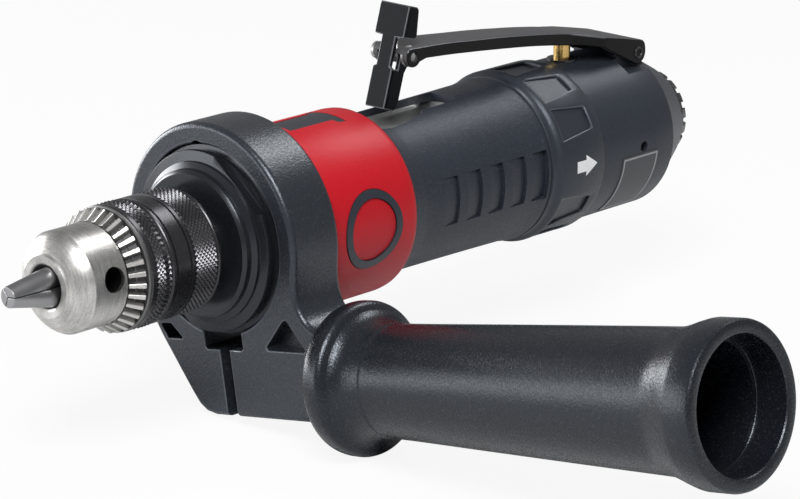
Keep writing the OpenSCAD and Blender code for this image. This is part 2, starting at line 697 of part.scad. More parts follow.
// Torsion spring on the latch pin: one tube of triangles along a coil with two short tails
coil_wire = 0.7;
coil_r = latch_pin_r + 0.25 + coil_wire / 2;
coil_turns = 3;
coil_pitch = 1.25;
ring_steps = 24;
ring_sides = 6;
coil_steps = coil_turns * ring_steps;
function coil_point(i) = let (t = i * 360 / ring_steps)
  [coil_r * cos(t), (i / coil_steps - 0.5) * coil_turns * coil_pitch, coil_r * sin(t)];
function unit(v) = v / norm(v);
coil_path = concat(
  [coil_point(0) + [0, 0, -4.2]], [for (i = [0:coil_steps]) coil_point(i)],
  [coil_point(coil_steps) + [0, 0, 4.2]]
);
function path_way(i) = unit(
  coil_path[min(i + 1, len(coil_path) - 1)] - coil_path[max(i - 1, 0)]
);
function wire_ring(i) = let (w = path_way(i), u = unit(cross([0, 1, 0], w)), v = cross(w, u))
  [for (k = [0:ring_sides - 1]) let (a = k * 360 / ring_sides)
    coil_path[i] + coil_wire / 2 * (cos(a) * u + sin(a) * v)];
function strip(i, k) = let (n = ring_sides, a = i * n + k, b = i * n + (k + 1) % n)
  [[a, b, b + n], [a, b + n, a + n]];
coil_gap = coil_pitch - coil_wire;
echo(latch_spring_gap = coil_gap);

module latch_spring() color("silver") translate([latch_axis[0], 0, latch_axis[1]]) {
  last = len(coil_path) - 1;
  polyhedron(
    points = [for (i = [0:last]) each wire_ring(i)],
    faces = concat(
      [for (i = [0:last - 1], k = [0:ring_sides - 1]) each strip(i, k)],
      [for (k = [1:ring_sides - 2]) [0, k + 1, k]],
      [for (k = [1:ring_sides - 2]) [last * ring_sides, last * ring_sides + k, last * ring_sides + k + 1]]
    )
  );
}

// Throttle valve, upright under the lever
lever_under = lever_mid[1] - lever_t + (throttle_x - lever_mid[0])
  * (lever_knee[1] - lever_mid[1]) / (lever_knee[0] - lever_mid[0]);
poppet_low = -0.4;
plug_top = -15.1;
module throttle_pin() color("#c79a3c") {
  top = lever_under - part_gap - 0.1;
  post(throttle_x, 4.2, top - 0.8, throttle_pin_d / 2);
  translate([throttle_x, 0, top - 0.8])
    cylinder(h = 0.8, r1 = throttle_pin_d / 2, r2 = throttle_pin_d / 2 - 0.9, $fn = 48);
}

module pin_bushing() color("#9c7a35") difference() {
  post(throttle_x, 11, tail_r + 0.4, 4.4);
  post(throttle_x, 10, 40, throttle_pin_d / 2 + run_gap);
}

module valve_seat() color("#b08d57") difference() {
  post(throttle_x, 2, 4, 5.97);
  post(throttle_x, 1, 5, 3.2);
}

module valve_poppet() color("#3f4246") {
  post(throttle_x, poppet_low, 1.7, 4.4);
  post(throttle_x, 1.7, 4.2, 1.5);
  post(throttle_x, -3, poppet_low, 2);
}

module valve_plug() color("gray") difference() {
  union() {
    post(throttle_x, -tail_r + 0.5, -17.6, 7);
    post(throttle_x, -17.6, plug_top, 6.2);
  }
  translate([throttle_x, 0, -tail_r]) cylinder(h = 4, r = 3, $fn = 6);
}

module plug_seal() color("#141414") translate([throttle_x, 0, -16.3]) rotate_extrude($fn = 64)
  translate([6.6, 0]) circle(r = 0.4, $fn = 24);

// Valve spring: rings of wire joined as one tube along a coil
valve_coil_r = 3.3;
valve_wire = 1;
valve_turns = 5;
valve_low = plug_top + 0.05 + valve_wire / 2;
valve_pitch = (poppet_low - 0.05 - valve_wire / 2 - valve_low) / valve_turns;
valve_steps = valve_turns * 20;
function valve_point(i) = let (t = i * 18)
  [valve_coil_r * cos(t), valve_coil_r * sin(t), valve_low + i / 20 * valve_pitch];
function valve_ring(i) = let (
    w = unit(valve_point(i + 1) - valve_point(i - 1)), u = unit(cross([0, 0, 1], w)), v = cross(w, u)
  )
  [for (k = [0:ring_sides - 1]) let (a = k * 360 / ring_sides)
    valve_point(i) + valve_wire / 2 * (cos(a) * u + sin(a) * v)];
echo(valve_spring_gap = valve_pitch - valve_wire);

module valve_spring() color("silver") translate([throttle_x, 0, 0]) polyhedron(
  points = [for (i = [0:valve_steps]) each valve_ring(i)],
  faces = concat(
    [for (i = [0:valve_steps - 1], k = [0:ring_sides - 1]) each strip(i, k)],
    [for (k = [1:ring_sides - 2]) [0, k + 1, k]],
    [for (k = [1:ring_sides - 2])
      [valve_steps * ring_sides, valve_steps * ring_sides + k, valve_steps * ring_sides + k + 1]]
  )
);

module inlet_bushing() color("#222325") {
  notches = 18;
  difference() {
    turned([
      [inlet_bore_d / 2, x_end + 0.8], [inlet_bore_d / 2 + 0.8, x_end], [12.8, x_end], [13.6, x_end + 0.8],
      [14.9, x_rear - 0.1], [bush_r, x_rear - 0.1], [bush_r, x_cap - 1], [4.6, x_cap - 1],
      [4.6, x_end + 13], [inlet_bore_d / 2, x_end + 13]
    ]);
    for (k = [0:notches - 1]) around(k * 360 / notches) translate([x_end - 1, 12, -0.9]) cube([4, 6, 1.8]);
  }
}

module inlet_screen() color("silver") difference() {
  rod(x_cap - 3, x_cap - 3.8, 4.6);
  for (i = [-2:2], j = [-2:2]) if (i * i + j * j < 6)
    translate([0, i * 1.6, j * 1.6]) rod(x_cap - 2, x_cap - 5, 0.55);
}

// Side handle: its frame is turned about the tool axis by the tilt
module tilted() around(handle_tilt) children();

// A rod along the handle axis between y0 and y1
module handle_rod(y0, y1, r) cross_rod([bracket_x_mid, -handle_drop], y0, y1, r);

module bracket() color("#2a2c2f") tilted() {
  low = -bracket_low;
  pocket = 5;
  lug_end = flange_y - 0.5;
  difference() {
    translate([x_bracket - bracket_w, 0, 0]) rotate([90, 0, 90])
    linear_extrude(height = bracket_w) difference() {
      union() {
        circle(r = bracket_r, $fn = 128);
        polygon([
          [-bracket_r, 0], [-30.6, -12], [-26.4, -24], [-21.3, -33.5], [-15.5, low + 5.8], [-11, low + 1.2],
          [-7.5, low], [lug_end, low], [lug_end, low + 25.4], [34.9, low + 25.2], [31.8, low + 27.6],
          [29.7, -17.3], [29, -13.2], [29.4, -6], [0, 0]
        ]);
      }
      circle(r = bracket_bore_r, $fn = 128);
      translate([-1.9, low - 1]) square([3.8, bracket_low - 20]);
      translate([-7.3, -bracket_bore_r - 4.5]) square([14.6, 20]);
    }
    for (x = [x_bracket - pocket, x_bracket - bracket_w - 1])
      translate([x, 0, 0]) rotate([90, 0, 90]) linear_extrude(height = pocket + 1) {
        polygon([[24.8, -21.4], [16.2, -29.8], [31.4, -29.8]]);
        polygon([[-24, -24.4], [-21.8, -28], [-15.8, -28], [-20, -23.9]]);
      }
    handle_rod(-60, 60, stud_d / 2);
  }
}

module clamp_stud() color("silver") tilted() handle_rod(-12, flange_y + 22, stud_d / 2);

module handle_washer() color("silver") tilted() difference() {
  handle_rod(flange_y - 0.2, flange_y - 0.2 + washer_t, washer_r);
  handle_rod(flange_y - 2, flange_y + 3, stud_d / 2 + run_gap);
}

module handle_grip() color("#1d1e20") tilted()
translate([bracket_x_mid, 0, -handle_drop]) rotate([-90, 0, 0]) {
  flange_r = flange_d / 2;
  rim_r = rim_d / 2;
  rise = 3.1 / 90;
  top = handle_end - 20;
  hole = stud_d / 2 + run_gap;
  difference() {
    rotate_extrude($fn = 128) polygon([
      [hole, flange_y + washer_t - 0.15], [washer_r + 0.2, flange_y + washer_t - 0.15],
      [washer_r + 0.2, flange_y],
      [flange_r - 2.6, flange_y], [flange_r - 0.7, flange_y + 1], [flange_r, flange_y + 3],
      [flange_r, flange_y + 5.6], [flange_r - 1, flange_y + 8], [flange_r - 3, flange_y + 9.4],
      [15.9, flange_y + 11.6], [15.2, flange_y + 15], [15.1, flange_y + 20.7],
      [15.1 + (top - flange_y - 20.7) * rise, top], [rim_r - 2.7, top + 2], [rim_r - 1.6, top + 6.6],
      [rim_r - 0.8, top + 9.8], [rim_r, top + 13.4], [rim_r, handle_end - 1], [rim_r - 1, handle_end],
      [rim_r - 3.95, handle_end], [rim_r - 5.4, handle_end - 1.6],
      [12.4, flange_y + 26], [hole, flange_y + 26]
    ]);
  }
}

chuck_body();
chuck_sleeve();
chuck_nut();
chuck_jaw_1();
chuck_jaw_2();
chuck_jaw_3();
chuck_screw();
spindle();
planet_pins();
planet_gear_1();
planet_gear_2();
planet_gear_3();
ring_gear();
spindle_bearing_outer();
spindle_bearing_inner();
bearing_spacer();
gear_case();
cover_band();
badge();
cover_panel();
rotor();
rotor_vanes();
motor_cylinder();
front_plate();
rear_plate();
rotor_bearing_outer();
rotor_bearing_inner();
motor_dowel();
motor_housing();
grip_sleeve();
exhaust_ring();
muffler();
ring_seal();
rear_housing();
throttle_lever();
lever_pin();
latch();
latch_pin();
latch_spring();
throttle_pin();
pin_bushing();
valve_poppet();
valve_seat();
valve_spring();
valve_plug();
plug_seal();
inlet_bushing();
inlet_screen();
label_plate();
stop_pin();
bracket();
clamp_stud();
handle_washer();
handle_grip();
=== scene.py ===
import json
import math

import bmesh
import bpy
from mathutils import Matrix, Vector

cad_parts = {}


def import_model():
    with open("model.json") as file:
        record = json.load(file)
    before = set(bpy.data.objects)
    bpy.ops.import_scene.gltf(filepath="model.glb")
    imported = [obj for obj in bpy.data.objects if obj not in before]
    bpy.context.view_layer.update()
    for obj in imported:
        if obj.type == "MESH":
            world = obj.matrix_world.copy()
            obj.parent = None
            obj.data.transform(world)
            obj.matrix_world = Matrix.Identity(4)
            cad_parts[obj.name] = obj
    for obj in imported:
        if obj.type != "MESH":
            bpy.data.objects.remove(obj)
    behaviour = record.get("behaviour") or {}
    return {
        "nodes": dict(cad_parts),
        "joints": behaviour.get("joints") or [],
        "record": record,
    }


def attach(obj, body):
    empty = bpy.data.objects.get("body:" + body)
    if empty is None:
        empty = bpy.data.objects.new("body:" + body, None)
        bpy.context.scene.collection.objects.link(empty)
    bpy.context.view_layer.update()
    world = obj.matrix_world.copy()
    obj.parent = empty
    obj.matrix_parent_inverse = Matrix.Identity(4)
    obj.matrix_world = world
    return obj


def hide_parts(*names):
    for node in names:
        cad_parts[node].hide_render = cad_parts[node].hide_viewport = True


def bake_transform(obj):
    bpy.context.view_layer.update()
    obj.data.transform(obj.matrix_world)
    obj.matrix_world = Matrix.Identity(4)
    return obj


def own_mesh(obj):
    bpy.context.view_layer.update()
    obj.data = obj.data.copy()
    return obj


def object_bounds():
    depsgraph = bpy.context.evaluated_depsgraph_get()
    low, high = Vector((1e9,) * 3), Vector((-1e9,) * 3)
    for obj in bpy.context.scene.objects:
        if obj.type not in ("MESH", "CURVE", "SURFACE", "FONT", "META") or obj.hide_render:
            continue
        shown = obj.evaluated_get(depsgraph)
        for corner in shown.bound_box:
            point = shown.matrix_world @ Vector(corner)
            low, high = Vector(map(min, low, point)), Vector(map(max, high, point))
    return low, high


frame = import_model()
cad_box = [list(corner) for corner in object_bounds()]

MM = 0.001
NODES = frame["nodes"]
SLOT_OF = {s["node"]: s["material_slot"] for s in frame["record"]["subparts"]}
BODY_OF = {n: b for b, names in frame["record"]["behaviour"]["bodies"].items() for n in names}
JOINT = {j["name"]: j for j in frame["joints"]}

# Stations along the tool axis in millimetres, from the chuck's front face to the rear
X_KEY, X_BAND, X_CHUCK = -11.9, -22.0, -47.2
X_COVER, X_GRIP, X_TAIL = -76.25, -113.05, -193.85
X_BADGE, X_PLUNGER, X_LABEL = -95.2, -203.05, -211.15

# Radii in millimetres
NOSE_R, SLEEVE_R, NECK_R, COVER_R, RING_R, TAIL_R = 13.77, 17.0, 25.94, 26.3, 25.4, 24.2
JAW_WAY_R, KEY_HOLE_R, STUD_R = 3.16, 3.4, 4.06

# Chuck: counts, and turns in degrees from +Y toward +Z
JAWS, TEETH = 3, 32
JAW_STEP, KEY_TURN, JAW_LEAN = 120, 8.7, 13

# Pivots of lever and latch, seen from the side as (x, z) in millimetres
PIVOT = (-225.85, 23.8)
LATCH_AXIS = (-132.15, 38.2)


# Shader kit

class Socket:
    """A shader socket that takes part in Python sums."""

    def __init__(self, finish, socket):
        self.finish = finish
        self.socket = socket

    def math(self, operation, first, second=0.0):
        return self.finish.node("ShaderNodeMath", {"operation": operation}, {0: first, 1: second})

    def __add__(self, other):
        return self.math("ADD", self, other)

    def __radd__(self, other):
        return self.math("ADD", other, self)

    def __sub__(self, other):
        return self.math("SUBTRACT", self, other)

    def __rsub__(self, other):
        return self.math("SUBTRACT", other, self)

    def __mul__(self, other):
        return self.math("MULTIPLY", self, other)

    def __rmul__(self, other):
        return self.math("MULTIPLY", other, self)

    def __truediv__(self, other):
        return self.math("DIVIDE", self, other)

    def __abs__(self):
        return self.math("ABSOLUTE", self)

    def sine(self):
        return self.math("SINE", self)

    def power(self, exponent):
        return self.math("POWER", self, exponent)

    def least(self, other):
        return self.math("MINIMUM", self, other)

    def most(self, other):
        return self.math("MAXIMUM", self, other)

    def clamped(self):
        return self.most(0.0).least(1.0)


class Finish:
    """One material, or the world, built from nodes."""

    def __init__(self, name, family=None):
        family = bpy.data.materials if family is None else family
        self.owner = family.new(name)
        self.owner.use_nodes = True
        self.tree = self.owner.node_tree
        self.tree.nodes.clear()
        self.place = self.node("ShaderNodeTexCoord", out="Object")

    def node(self, kind, settings=None, inputs=None, out=0):
        made = self.tree.nodes.new(kind)
        for key, value in (settings or {}).items():
            if key == "stops":
                ramp = made.color_ramp.elements
                while len(ramp) < len(value):
                    ramp.new(1.0)
                for element, (position, colour) in zip(ramp, value):
                    element.position = position
                    element.color = rgba(colour)
            else:
                setattr(made, key, value)
        for key, value in (inputs or {}).items():
            socket = made.inputs[key]
            if isinstance(value, Socket):
                self.tree.links.new(value.socket, socket)
            elif socket.type == "RGBA":
                socket.default_value = rgba(value)
            else:
                socket.default_value = value
        return made if out is None else Socket(self, made.outputs[out])

    def noise(self, size_mm, detail=2.0, rough=0.5, stretch=(1, 1, 1), shift=0.0):
        """Noise whose blotches are about size_mm across."""
        place = self.node("ShaderNodeMapping", None, {
            "Vector": self.place, "Location": [shift] * 3,
            "Scale": [k / (size_mm * MM) for k in stretch],
        })
        return self.node("ShaderNodeTexNoise", None, {
            "Vector": place, "Scale": 1.0, "Detail": detail, "Roughness": rough,
        })

    def along(self, axis):
        """The object's own x, y or z in millimetres."""
        parts = self.node("ShaderNodeSeparateXYZ", None, {0: self.place}, out="XYZ".index(axis))
        return parts * 1000.0

    def span(self, value, low, high, soft):
        """1 between low and high, 0 outside, with a soft edge."""
        rise = ((value - low) / soft + 0.5).clamped()
        fall = ((high - value) / soft + 0.5).clamped()
        return rise * fall

    def blend(self, factor, first, second):
        """A colour between two, by a factor."""
        colours = {0: factor, 6: first, 7: second}
        return self.node("ShaderNodeMix", {"data_type": "RGBA"}, colours, out=2)

    def shades(self, factor, stops):
        """A colour from a ramp of (place, colour) stops."""
        return self.node("ShaderNodeValToRGB", {"stops": stops}, {0: factor})

    def bump(self, height, distance_mm, strength):
        return self.node("ShaderNodeBump", None, {
            "Height": height, "Distance": distance_mm * MM, "Strength": strength,
        })

    def surface(self, **inputs):
        shader = self.node("ShaderNodeBsdfPrincipled", None, {
            key.replace("_", " "): value for key, value in inputs.items()
        })
        self.node("ShaderNodeOutputMaterial", None, {"Surface": shader}, out=None)
        return self.owner


def rgba(colour):
    return tuple(colour)[:3] + (1.0,)


def srgb(red, green, blue):
    """A colour given as 0 to 255 screen values."""
    shares = (red / 255, green / 255, blue / 255)
    return tuple(s / 12.92 if s < 0.0404 else ((s + 0.055) / 1.055) ** 2.4 for s in shares)


# Finishes

def turned_steel(name, light, dark, rough, lines_mm=0.42, depth_mm=0.012):
    """Bare steel with fine turning lines about the tool axis."""
    f = Finish(name)
    x = f.along("X")
    wander = f.noise(2.5, 3.0)
    lines = ((x + wander * 0.25) * (2 * math.pi / lines_mm)).sine() * 0.5 + 0.5
    fine = f.noise(0.12, 2.0, stretch=(1, 0.08, 0.08))
    cloud = f.noise(6.0, 3.0)
    colour = f.shades(cloud * 0.5 + fine * 0.5, [(0.3, dark), (0.7, light)])
    return f.surface(
        Base_Color=colour, Metallic=1.0, Roughness=rough + fine * 0.16 - lines * 0.04,
        Normal=f.bump(lines * 0.6 + fine * 0.4, depth_mm, 0.7),
    )


def chuck_steel():
    """Satin steel, painted near black as shade in the key holes and the bore."""
    f = Finish("satin_chuck_steel")
    x = f.along("X")
    y = f.along("Y")
    z = f.along("Z")
    radius = (y * y + z * z).power(0.5)
    # Painted shade: the colour goes near black in the key holes and the bit bore, where shade
    # falls.
    inside = ((13.3 - radius) * 1.2).clamped() * ((-6.5 - x) * 2.0).clamped()
    bore = ((6.3 - radius) * 2.0).clamped()
    dark = inside.most(bore)
    grain = f.noise(0.22, 2.0, 0.6)
    lines = f.noise(0.3, 2.0, stretch=(1, 0.06, 0.06))
    cloud = f.noise(5.0, 3.0)
    tone = grain * 0.45 + lines * 0.3 + cloud * 0.25
    steel = f.shades(tone, [(0.36, [0.31, 0.305, 0.295]), (0.64, [0.72, 0.71, 0.69])])
    return f.surface(
        Base_Color=f.blend(dark, steel, [0.02, 0.02, 0.021]), Metallic=1.0,
        Roughness=0.27 + grain * 0.16 + dark * 0.2,
        Normal=f.bump(grain * 0.6 + lines * 0.4, 0.03, 0.9),
    )


def ground_steel(name, colour, rough, grain_mm=0.25):
    """Plain machined or hardened steel with a fine random grain."""
    f = Finish(name)
    grain = f.noise(grain_mm, 2.0)
    cloud = f.noise(5.0, 3.0)
    dark = [c * 0.78 for c in colour]
    return f.surface(
        Base_Color=f.blend(cloud, dark, colour), Metallic=1.0, Roughness=rough + grain * 0.15,
        Normal=f.bump(grain, 0.01, 0.5),
    )


def moulded_plastic(name, colour, rough, grain_mm, depth_mm, fleck=0.25, shine=0.45, glint_specks=0.0):
    """Moulded plastic with a fine grain, pale specks painted on its high spots as glints, and faint
    colour drift.
    """
    f = Finish(name)
    grain = f.noise(grain_mm, 2.0, 0.6)
    coarse = f.noise(grain_mm * 3.1, 2.0, 0.5, shift=7.0)
    cloud = f.noise(22.0, 3.0, shift=3.0)
    light = [min(1.0, c * (1 + fleck) + 0.004 * fleck) for c in colour]
    dark = [c * (1 - 0.6 * fleck) for c in colour]
    tone = (grain * 0.55 + coarse * 0.25 + cloud * 0.2 - 0.5) * 1.6 + 0.5
    # Painted glints: pale specks on the grain's high spots.
    speck = ((grain - 0.58) * 9.0).clamped() * glint_specks
    shade = f.blend(tone.clamped(), dark, light)
    return f.surface(
        Base_Color=f.blend(speck, shade, [c * 1.5 + 0.03 for c in colour]),
        Roughness=rough + (0.5 - grain) * (0.6 * fleck + 0.2 * glint_specks),
        Normal=f.bump(grain * 0.75 + coarse * 0.25, depth_mm, 1.0),
        Specular_IOR_Level=shine, Specular_Tint=[0.83, 0.91, 1.0],
    )


def black_steel(name, colour, rough, metal):
    """Black-oxide or lacquered steel with small worn specks."""
    f = Finish(name)
    grain = f.noise(0.35, 3.0, 0.6)
    cloud = f.noise(9.0, 3.0)
    speck = ((f.noise(0.9, 4.0, 0.65, shift=11.0) - 0.64) * 9.0).clamped()
    light = [min(1.0, c * 1.7 + 0.01) for c in colour]
    tone = f.blend(cloud, colour, light)
    return f.surface(
        Base_Color=f.blend(speck * 0.35, tone, [0.2, 0.2, 0.21]), Metallic=metal,
        Roughness=rough + (grain - 0.5) * 0.12 + speck * 0.1, Normal=f.bump(grain, 0.012, 0.6),
    )


def lever_lacquer():
    """Black lacquer with a painted grey sheen along the top."""
    f = Finish("lacquered_lever")
    half = 6.7 + ((-199.5 - f.along("X")) / 11.0).clamped() * 3.8
    top = ((half - abs(f.along("Y")) - 0.25) * 3.0).clamped()
    grain = f.noise(0.4, 3.0, 0.6)
    cloud = f.noise(8.0, 3.0, stretch=(0.3, 1, 1))
    # Painted highlight: the top is a lighter grey than the black sides.
    painted_top_sheen = f.blend(cloud * 0.7 + grain * 0.3, srgb(58, 58, 60), srgb(84, 84, 86))
    return f.surface(
        Base_Color=f.blend(top, srgb(9, 9, 11), painted_top_sheen), Roughness=0.32 + grain * 0.1 + top * 0.06,
        Normal=f.bump(grain, 0.012, 0.8), Specular_IOR_Level=0.2,
    )


def bare_aluminium():
    """Aluminium with streaks along the tool."""
    f = Finish("bare_aluminium")
    streak = f.noise(0.3, 2.0, stretch=(0.12, 1, 1))
    cloud = f.noise(4.0, 3.0)
    tone = streak * 0.6 + cloud * 0.4
    return f.surface(
        Base_Color=f.shades(tone, [(0.3, [0.5, 0.5, 0.5]), (0.7, [0.78, 0.78, 0.77])]),
        Metallic=1.0, Roughness=0.3 + streak * 0.2, Normal=f.bump(streak, 0.015, 0.6),
    )


def felt_wool():
    """Pressed wool of the muffler."""
    f = Finish("felt_wool")
    fibre = f.noise(0.5, 4.0, 0.7, stretch=(1, 0.4, 1))
    return f.surface(
        Base_Color=f.blend(fibre, [0.3, 0.28, 0.25], [0.55, 0.53, 0.48]), Roughness=0.95,
        Normal=f.bump(fibre, 0.2, 0.8),
    )


def sheet_label():
    """A blank sticker: grey field with a thin pale line round it."""
    half_long, half_wide, below_deg, radius = 8.1, 10.4, 29.0, 24.4
    f = Finish("blank_label")
    turn = f.node("ShaderNodeMath", {"operation": "ARCTAN2"}, {0: f.along("Z"), 1: f.along("Y")})
    width = (turn + math.radians(below_deg)) * radius
    from_edge = (half_long - abs(f.along("X") - X_LABEL)).least(half_wide - abs(width))
    line = f.span(from_edge, 0.45, 0.95, 0.12)
    grain = f.noise(0.3, 2.0)
    field = f.blend(grain, srgb(58, 60, 64), srgb(72, 74, 78))
    return f.surface(
        Base_Color=f.blend(line * 0.8, field, srgb(168, 170, 172)), Roughness=0.42 + grain * 0.12,
        Normal=f.bump(grain, 0.01, 0.4),
    )


def pale_paint():
    """White paint of the ring's arrow."""
    f = Finish("pale_paint")
    grain = f.noise(0.25, 3.0, 0.6)
    return f.surface(
        Base_Color=f.blend(grain, srgb(222, 224, 226), srgb(250, 250, 250)),
        Roughness=0.5 + grain * 0.15, Normal=f.bump(grain, 0.01, 0.6),
    )


# Plastic by plastic: colour, roughness, grain in mm, its depth in mm, fleck, shine, share of
# painted glint specks
PLASTIC = {name: moulded_plastic(name, srgb(*row[0]), *row[1:]) for name, row in {
    "coated_case": ((38, 42, 50), 0.42, 0.55, 0.06, 0.3, 0.45, 0.2),
    "gloss_case": ((22, 24, 28), 0.26, 0.5, 0.004, 0.15, 0.5),
    "red_shell": ((184, 18, 30), 0.42, 0.6, 0.07, 0.14, 0.3),
    "panel_plastic": ((46, 48, 53), 0.5, 0.5, 0.03, 0.15, 0.4),
    "dark_plastic": ((40, 42, 46), 0.48, 0.55, 0.05, 0.3),
    "grip_rubber": ((36, 40, 48), 0.46, 0.6, 0.11, 0.35, 0.42, 0.5),
    "ring_plastic": ((38, 42, 49), 0.4, 0.55, 0.06, 0.3, 0.5, 0.2),
    "inlet_black": ((16, 16, 18), 0.22, 0.5, 0.004, 0.15, 0.5),
    "bracket_plastic": ((28, 31, 37), 0.3, 0.6, 0.12, 0.5, 0.62, 0.6),
    "handle_plastic": ((16, 19, 25), 0.28, 0.6, 0.115, 0.5, 0.5, 0.6),
    "lacquered_latch": ((13, 14, 16), 0.46, 0.5, 0.03, 0.3, 0.1, 0.12),
    # Lighter greys that bevels take: painted highlights on edges
    "painted_edge_highlight": ((70, 74, 81), 0.3, 0.4, 0.03, 0.4, 0.6),
    "painted_bevel_highlight": ((84, 84, 87), 0.26, 0.4, 0.01, 0.3, 0.6),
    "seal_rubber": ((24, 24, 25), 0.6, 0.4, 0.02),
    "vane_laminate": ((112, 74, 48), 0.6, 0.5, 0.04),
}.items()}

# The record's material slots
FINISH = {
    "steel_bright": turned_steel("turned_steel", [0.6, 0.59, 0.57], [0.52, 0.51, 0.5], 0.3),
    "steel_dark": black_steel("black_oxide_steel", [0.035, 0.035, 0.038], 0.27, 0.8),
    "steel_gear": ground_steel("hardened_steel", [0.5, 0.5, 0.51], 0.3),
    "iron": ground_steel("ground_iron", [0.2, 0.2, 0.2], 0.4, 0.5),
    "aluminium": bare_aluminium(),
    "brass": turned_steel("turned_brass", [0.83, 0.58, 0.22], [0.58, 0.38, 0.12], 0.2, 0.3, 0.008),
    "felt": felt_wool(),
    "label": sheet_label(),
    "case_black": PLASTIC["coated_case"],
    "red_plastic": PLASTIC["red_shell"],
    "dark_plastic": PLASTIC["dark_plastic"],
    "grip_rubber": PLASTIC["grip_rubber"],
    "handle_plastic": PLASTIC["handle_plastic"],
    "seal_rubber": PLASTIC["seal_rubber"],
    "vane": PLASTIC["vane_laminate"],
}

# Finishes of single pieces
CHUCK_STEEL = chuck_steel()
JAW_STEEL = ground_steel("jaw_steel", [0.36, 0.36, 0.37], 0.26, 0.4)
# Near-black steel painted into the gaps between the gear teeth as shade
GEAR_GAP_SHADE = ground_steel("painted_gear_gap_shade", [0.06, 0.06, 0.062], 0.45, 0.5)
# A lighter copy of the black steel for the knurl faces: a painted glint
KNURL_GLINT_STEEL = black_steel("painted_knurl_glint", [0.05, 0.05, 0.054], 0.26, 0.85)
LEVER_BLACK = lever_lacquer()
PALE_PAINT = pale_paint()


# Mesh kit

def wake(bm, name, *finishes, sharp_deg=32.0):
    """Turns a bmesh into a shaded piece; a second finish goes on the faces marked for it."""
    mesh = bpy.data.meshes.new(name)
    for finish in finishes:
        mesh.materials.append(finish)
    bm.normal_update()
    bm.to_mesh(mesh)
    bm.free()
    mesh.polygons.foreach_set("use_smooth", [True] * len(mesh.polygons))
    mesh.set_sharp_from_angle(angle=math.radians(sharp_deg))
    piece = bpy.data.objects.new(name, mesh)
    bpy.context.scene.collection.objects.link(piece)
    return piece


def flowing(points, steps):
    """A smooth curve through profile points."""
    ends = [points[0]] + list(points) + [points[-1]]
    out = []
    for a, b, c, d in zip(ends, ends[1:], ends[2:], ends[3:]):
        for k in range(steps):
            t = k / steps
            out.append(tuple(
                0.5 * (2 * q + (r - p) * t + (2 * p - 5 * q + 4 * r - s) * t ** 2
                       + (3 * q - p - 3 * r + s) * t ** 3)
                for p, q, r, s in zip(a, b, c, d)
            ))
    return out + [tuple(points[-1])]


def bevel(bm, edges, width_mm, segments, finish=-1):
    bmesh.ops.bevel(
        bm, geom=edges, offset=width_mm * MM, offset_type="OFFSET", segments=segments,
        profile=0.5, affect="EDGES", clamp_overlap=False, material=finish,
    )


def soften(bm, width_mm, angle_deg, segments=2, where=None, finish=-1):
    """Bevels the edges that are sharper than angle_deg; finish marks the new faces."""
    edges = [
        e for e in bm.edges
        if len(e.link_faces) == 2 and e.calc_face_angle(0.0) > math.radians(angle_deg)
        and (where is None or where((e.verts[0].co + e.verts[1].co) / 2 / MM))
    ]
    if edges:
        bevel(bm, edges, width_mm, segments, finish)
    return bm


def arc(radius, degrees, centre=(0.0, 0.0)):
    """Points of an outline on a circle."""
    turns = [math.radians(a) for a in degrees]
    return [(centre[0] + radius * math.cos(t), centre[1] + radius * math.sin(t)) for t in turns]


def lathe(profile, steps):
    """A solid turned about the tool axis from (x, radius) points in millimetres."""
    bm = bmesh.new()
    ring = [bm.verts.new((x * MM, 0, r * MM)) for x, r in profile]
    edges = [bm.edges.new(pair) for pair in zip(ring, ring[1:] + ring[:1])]
    bmesh.ops.spin(bm, geom=ring + edges, cent=(0, 0, 0), axis=(1, 0, 0), angle=2 * math.pi,
                   steps=steps, use_merge=True, use_duplicate=False)
    bmesh.ops.remove_doubles(bm, verts=bm.verts, dist=1e-7)
    bmesh.ops.recalc_face_normals(bm, faces=bm.faces)
    return bm


def prism(outline, low_mm, high_mm, turn=None):
    """An outline in (x, y) millimetres raised from low to high along z, then placed by a matrix."""
    bm = bmesh.new()
    face = bm.faces.new([bm.verts.new((x * MM, y * MM, low_mm * MM)) for x, y in outline])
    made = bmesh.ops.extrude_face_region(bm, geom=[face])
    raised = [v for v in made["geom"] if isinstance(v, bmesh.types.BMVert)]
    bmesh.ops.translate(bm, verts=raised, vec=(0, 0, (high_mm - low_mm) * MM))
    bmesh.ops.recalc_face_normals(bm, faces=bm.faces)
    if turn is not None:
        bmesh.ops.transform(bm, matrix=turn, verts=bm.verts)
    return bm


def rod(radius_mm, length_mm, aim, sides=48):
    """A cylinder from the origin along +X, placed by a matrix."""
    bm = bmesh.new()
    radius = radius_mm * MM
    bmesh.ops.create_cone(bm, cap_ends=True, segments=sides, radius1=radius, radius2=radius,
                          depth=length_mm * MM)
    lie = at(length_mm / 2) @ Matrix.Rotation(math.pi / 2, 4, "Y")
    bmesh.ops.transform(bm, matrix=aim @ lie, verts=bm.verts)
    return bm


def arc_block(profile, half_deg, turn_deg):
    """A block with an (x, radius) section, swept half_deg to each side of an angle."""
    bm = bmesh.new()
    section = bm.faces.new([bm.verts.new((x * MM, r * MM, 0)) for x, r in profile])
    bmesh.ops.rotate(bm, verts=bm.verts, matrix=around(turn_deg - half_deg), cent=(0, 0, 0))
    bmesh.ops.spin(bm, geom=bm.verts[:] + bm.edges[:] + [section], cent=(0, 0, 0), axis=(1, 0, 0),
                   angle=math.radians(2 * half_deg), steps=max(6, round(half_deg)),
                   use_duplicate=False)
    bmesh.ops.holes_fill(bm, edges=bm.edges, sides=0)
    bmesh.ops.recalc_face_normals(bm, faces=bm.faces)
    return bm


def joined(*shapes):
    """Several bmeshes as one, without cutting them."""
    total = bmesh.new()
    for shape in shapes:
        mesh = bpy.data.meshes.new("shape")
        shape.to_mesh(mesh)
        shape.free()
        total.from_mesh(mesh)
        bpy.data.meshes.remove(mesh)
    return total


